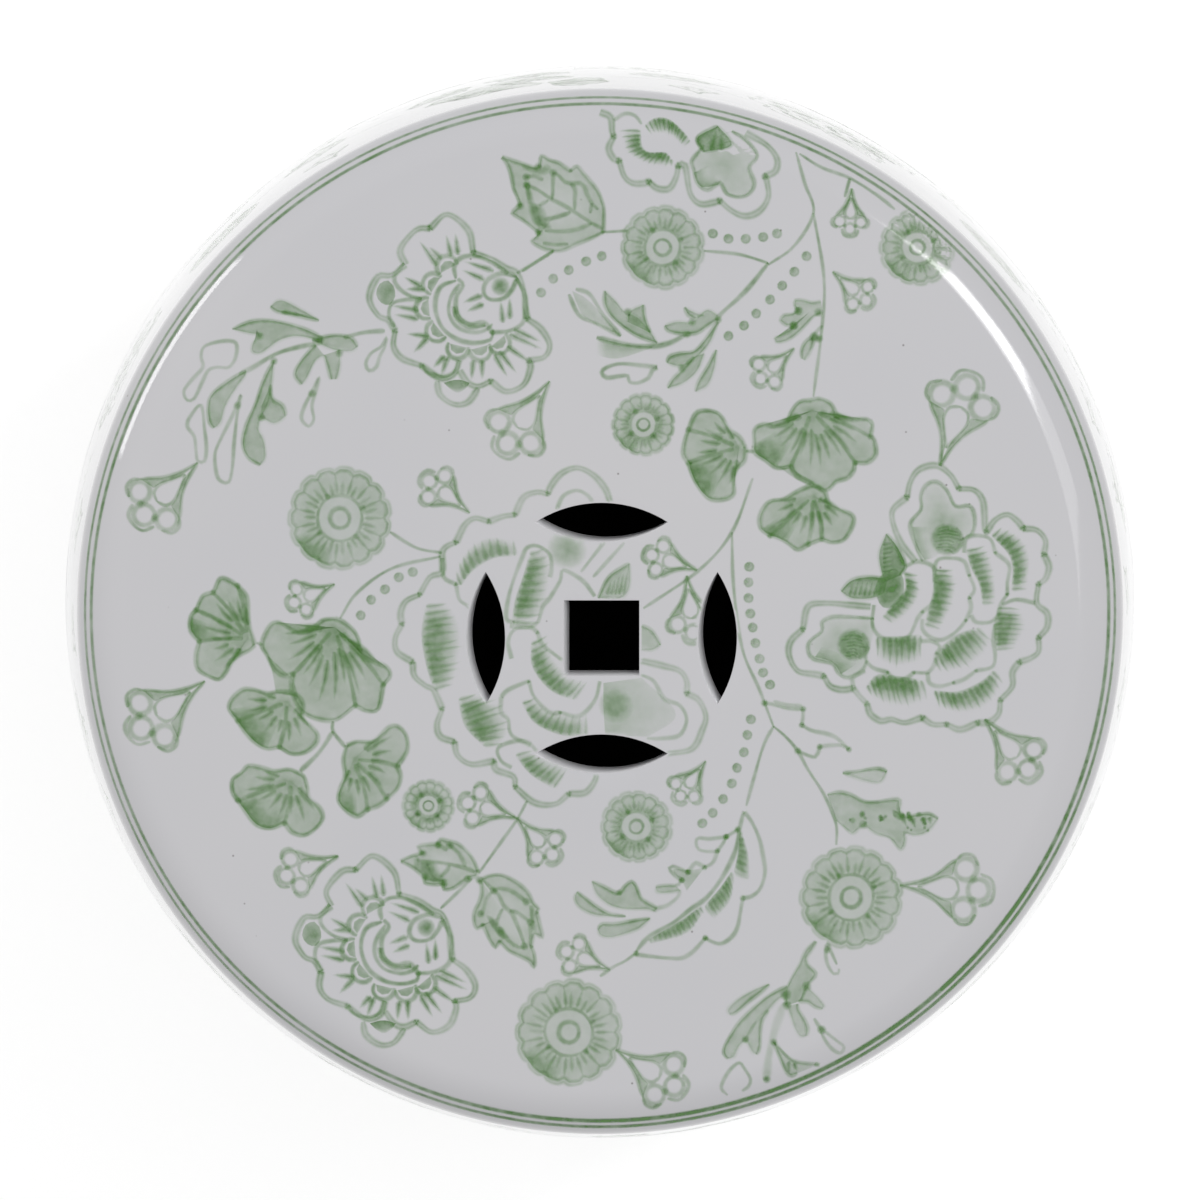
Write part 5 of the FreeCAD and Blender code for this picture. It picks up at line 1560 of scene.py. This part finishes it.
SHEET_TREFOILS = [
    ((14, 430), (4, 414)), ((60, 422), (64, 404)), ((228, 428), (230, 410)), ((346, 430), (350, 412)),
    ((488, 424), (493, 405)), ((146, 372), (136, 358)), ((250, 348), (264, 336)), ((346, 352), (352, 336)),
    ((58, 334), (68, 318)), ((148, 286), (140, 272)), ((204, 284), (212, 270)), ((372, 262), (384, 250)),
    ((452, 262), (444, 248)), ((98, 262), (112, 268)), ((276, 262), (288, 252)), ((88, 182), (98, 170)),
    ((150, 176), (160, 188)), ((230, 178), (222, 192)), ((330, 186), (322, 198)), ((404, 172), (392, 182)),
    ((52, 110), (58, 124)), ((150, 104), (158, 92)), ((224, 112), (238, 118)), ((300, 104), (312, 112)),
    ((404, 96), (416, 104)), ((470, 100), (462, 88)), ((150, 30), (162, 36)), ((82, 40), (90, 28)),
    ((226, 34), (238, 42)), ((350, 34), (362, 28)), ((420, 36), (408, 28)), ((510, 32), (500, 42))]
SHEET_VINES = [
    [(40, 24), (70, 100), (100, 122), (95, 186), (155, 262), (140, 336), (160, 362)],
    [(95, 186), (160, 186), (214, 196), (226, 262), (212, 300)],
    [(160, 24), (214, 104), (236, 156), (284, 178), (292, 250), (340, 268), (352, 320), (320, 362)],
    [(284, 178), (330, 196), (352, 206)], [(340, 268), (396, 262), (436, 318), (450, 364)],
    [(300, 24), (346, 84), (404, 108), (446, 176), (474, 200), (500, 262)],
    [(404, 108), (432, 100), (452, 92)], [(62, 402), (88, 396), (106, 402)],
    [(212, 404), (236, 392), (256, 396)], [(322, 396), (356, 384), (376, 394)],
    [(468, 402), (500, 384), (530, 372)], [(226, 262), (250, 276), (262, 282)],
    [(70, 100), (84, 92), (90, 86)], [(436, 318), (448, 326), (454, 328)],
    [(100, 122), (88, 136), (84, 140)], [(214, 104), (200, 92), (194, 84)]]
BEADED = [(0, 5, 34), (2, -5, 40), (5, 5, 30), (1, 5, 16), (10, -5, 9), (7, -5, 7)]


def on_side(x, y):
    """The place of a point on the barrel's skin, and its facing; x runs along the belly and y up."""
    height, turn = y * MM, x * MM / BELLY
    outward = Vector((math.cos(turn), math.sin(turn), 0))
    radius = side_radius(height, GLAZE_INSET)
    facing = outward * (radius - BELLY + CURVE) + Vector((0, 0, height - BELLY_SEAM))
    return outward * radius + Vector((0, 0, height)), facing.normalized()


def off_side(x, y):
    """Where the side's print stops: at its upper and lower edges and at the hand-holds."""
    across = math.sin(x * MM / BELLY) * side_radius(y * MM, 0) / MM
    return not SIDE_FOOT < y < SIDE_TOP or in_coin(across, y - SIDE_COIN_HEIGHT / MM, 0.8)


def sheet(half, start):
    """One laying of the sheet."""
    def fresh(family):
        return Transfer("side_print_" + family + "_" + half, on_side, off_side, (0, 0), (start, 0))
    for family, places in SHEET.items():
        blooms = fresh(family)
        for motif, (x, y), turn, size in places:
            drawing, pivot = SHEET_MOTIFS[motif]
            blooms.put(pivot, (start + x, y), turn, size)
            drawing(blooms)
        blooms.lay()
    blooms = fresh("daisies")
    for centre, radius in SHEET_DAISIES:
        daisy(blooms, centre, radius)
    blooms.lay()
    small = fresh("trefoils")
    for apex, foot in SHEET_TREFOILS:
        trefoil(small, apex, foot)
    small.lay()
    stalks = fresh("vines")
    for route in SHEET_VINES:
        stalks.line(route, 1.0, 0.58, step=2.0)
    for route, aside, count in BEADED:
        line = spread(smooth(SHEET_VINES[route]), count + 2)
        for before, point, after in zip(line, line[1:], line[2:]):
            way = (after - before).normalized()
            bead(stalks, point + Vector((-way.y, way.x)) * aside)
    stalks.lay()


sheet("front", 0)
sheet("back", HALF_ROUND)

# Floor and backdrop. A pale seamless floor that shows white, with the stool's own shadow on
# it; under the stool its colour is painted dark, as shade.
FLOOR_HALF = 12.0
PAPER_LIFT = 0.61
PAPER = "#C8C8C8"
# Painted shade: the paper's dark colour under the stool.
PAINTED_SHADE_PAPER = "#303030"
SHADE_END = 0.118
WHITE_START = 0.146


def seen_or_mirrored(tree):
    """1 for the eye's own rays and for those that come off glaze or through something clear."""
    path = node(tree, "ShaderNodeLightPath")
    mirrored = node(
        tree, "ShaderNodeMath", {"operation": "MAXIMUM"},
        {0: path.outputs["Is Glossy Ray"], 1: path.outputs["Is Transmission Ray"]})
    return node(
        tree, "ShaderNodeMath", {"operation": "MAXIMUM"},
        {0: path.outputs["Is Camera Ray"], 1: mirrored.outputs[0]})


def floor_material():
    """Matt white paper that is lifted to white for the eye, but not beneath the stool, where its colour is
    painted dark as shade.
    """
    material, tree = new_material("matt_white_paper")
    place = node(tree, "ShaderNodeTexCoord").outputs["Object"]
    reach = node(tree, "ShaderNodeVectorMath", {"operation": "LENGTH"}, {0: place})
    beyond = node(
        tree, "ShaderNodeMapRange",
        {"interpolation_type": "SMOOTHSTEP", "From Min": SHADE_END, "From Max": WHITE_START},
        {"Value": reach.outputs["Value"]})
    lift = node(
        tree, "ShaderNodeMath", {"operation": "MULTIPLY"},
        {0: seen_or_mirrored(tree).outputs[0], 1: beyond.outputs["Result"]})
    strength = node(tree, "ShaderNodeMath", {"operation": "MULTIPLY", 1: PAPER_LIFT}, {0: lift.outputs[0]})
    # Painted shade: under the stool the paper's colour turns dark grey.
    tone = node(tree, "ShaderNodeMix", {"data_type": "RGBA"}, {"Factor": beyond.outputs["Result"]})
    tone.inputs[6].default_value = linear(PAINTED_SHADE_PAPER)
    tone.inputs[7].default_value = linear(PAPER)
    paper = node(tree, "ShaderNodeBsdfDiffuse", {}, {"Color": tone.outputs[2]})
    glow = node(tree, "ShaderNodeEmission", {"Color": (1, 1, 1, 1)}, {"Strength": strength.outputs[0]})
    both = node(tree, "ShaderNodeAddShader", {}, {0: paper.outputs[0], 1: glow.outputs[0]})
    node(tree, "ShaderNodeOutputMaterial", {}, {"Surface": both.outputs[0]})
    return material


floor_mesh = bmesh.new()
bmesh.ops.create_grid(floor_mesh, x_segments=1, y_segments=1, size=FLOOR_HALF)
floor = made("floor", floor_mesh)
floor.data.materials.append(floor_material())

# Light. A bright plain studio: even light from all round, a soft window high on the right whose
# reflection runs along the shoulder, and a low one on the left.
STUDIO_LIGHT = 0.675
AIM = (0, 0, 0.44)
world = bpy.data.worlds.new("studio")
bpy.context.scene.world = world
world.use_nodes = True
world.node_tree.nodes.clear()
level = node(
    world.node_tree, "ShaderNodeMapRange", {"To Min": STUDIO_LIGHT, "To Max": 1.0},
    {"Value": seen_or_mirrored(world.node_tree).outputs[0]})
sky = node(
    world.node_tree, "ShaderNodeBackground", {"Color": (1, 1, 1, 1)},
    {"Strength": level.outputs["Result"]})
node(world.node_tree, "ShaderNodeOutputWorld", {}, {"Surface": sky.outputs[0]})


def strip_light(name, place, size, power):
    """A soft box aimed at the seat."""
    lamp = bpy.data.lights.new(name, "AREA")
    lamp.shape = "RECTANGLE"
    lamp.size, lamp.size_y = size
    lamp.energy = power
    holder = bpy.data.objects.new(name, lamp)
    bpy.context.scene.collection.objects.link(holder)
    holder.location = place
    holder.rotation_euler = (Vector(AIM) - Vector(place)).to_track_quat("-Z", "Y").to_euler()


strip_light("window_core", (1.107, 0.783, 3.0), (0.42, 0.9), 12)
strip_light("window_middle", (1.107, 0.783, 3.02), (0.5, 1.25), 8)
strip_light("window_glow", (1.257, 0.508, 3.04), (0.75, 1.4), 6)
strip_light("left_window", (-2.6, 1.5, 1.2), (1.4, 0.55), 17)

# Camera. It stands above the seat, a little towards the far side, and looks almost straight
# down with a long lens.
SEAT_PLANE = SEAT_TOP - 5 * MM
DISTANCE = 2500 * MM
PIXELS_PER_MM = 3.464
PICTURE_WIDTH = 1200
SENSOR_WIDTH = 36
EYE = Vector((0, 69.9 * MM, SEAT_PLANE + DISTANCE))
LOOK = Vector((0, 3.8 * MM, SEAT_PLANE))
camera_data = bpy.data.cameras.new("camera")
camera_data.sensor_width = SENSOR_WIDTH
camera_data.lens = PIXELS_PER_MM * (DISTANCE / MM) / PICTURE_WIDTH * SENSOR_WIDTH
camera = bpy.data.objects.new("camera", camera_data)
bpy.context.scene.collection.objects.link(camera)
camera.location = EYE
camera.rotation_euler = (math.atan2(LOOK.y - EYE.y, EYE.z - LOOK.z), 0, 0)
bpy.context.scene.camera = camera
bpy.context.scene.view_settings.view_transform = "Standard"
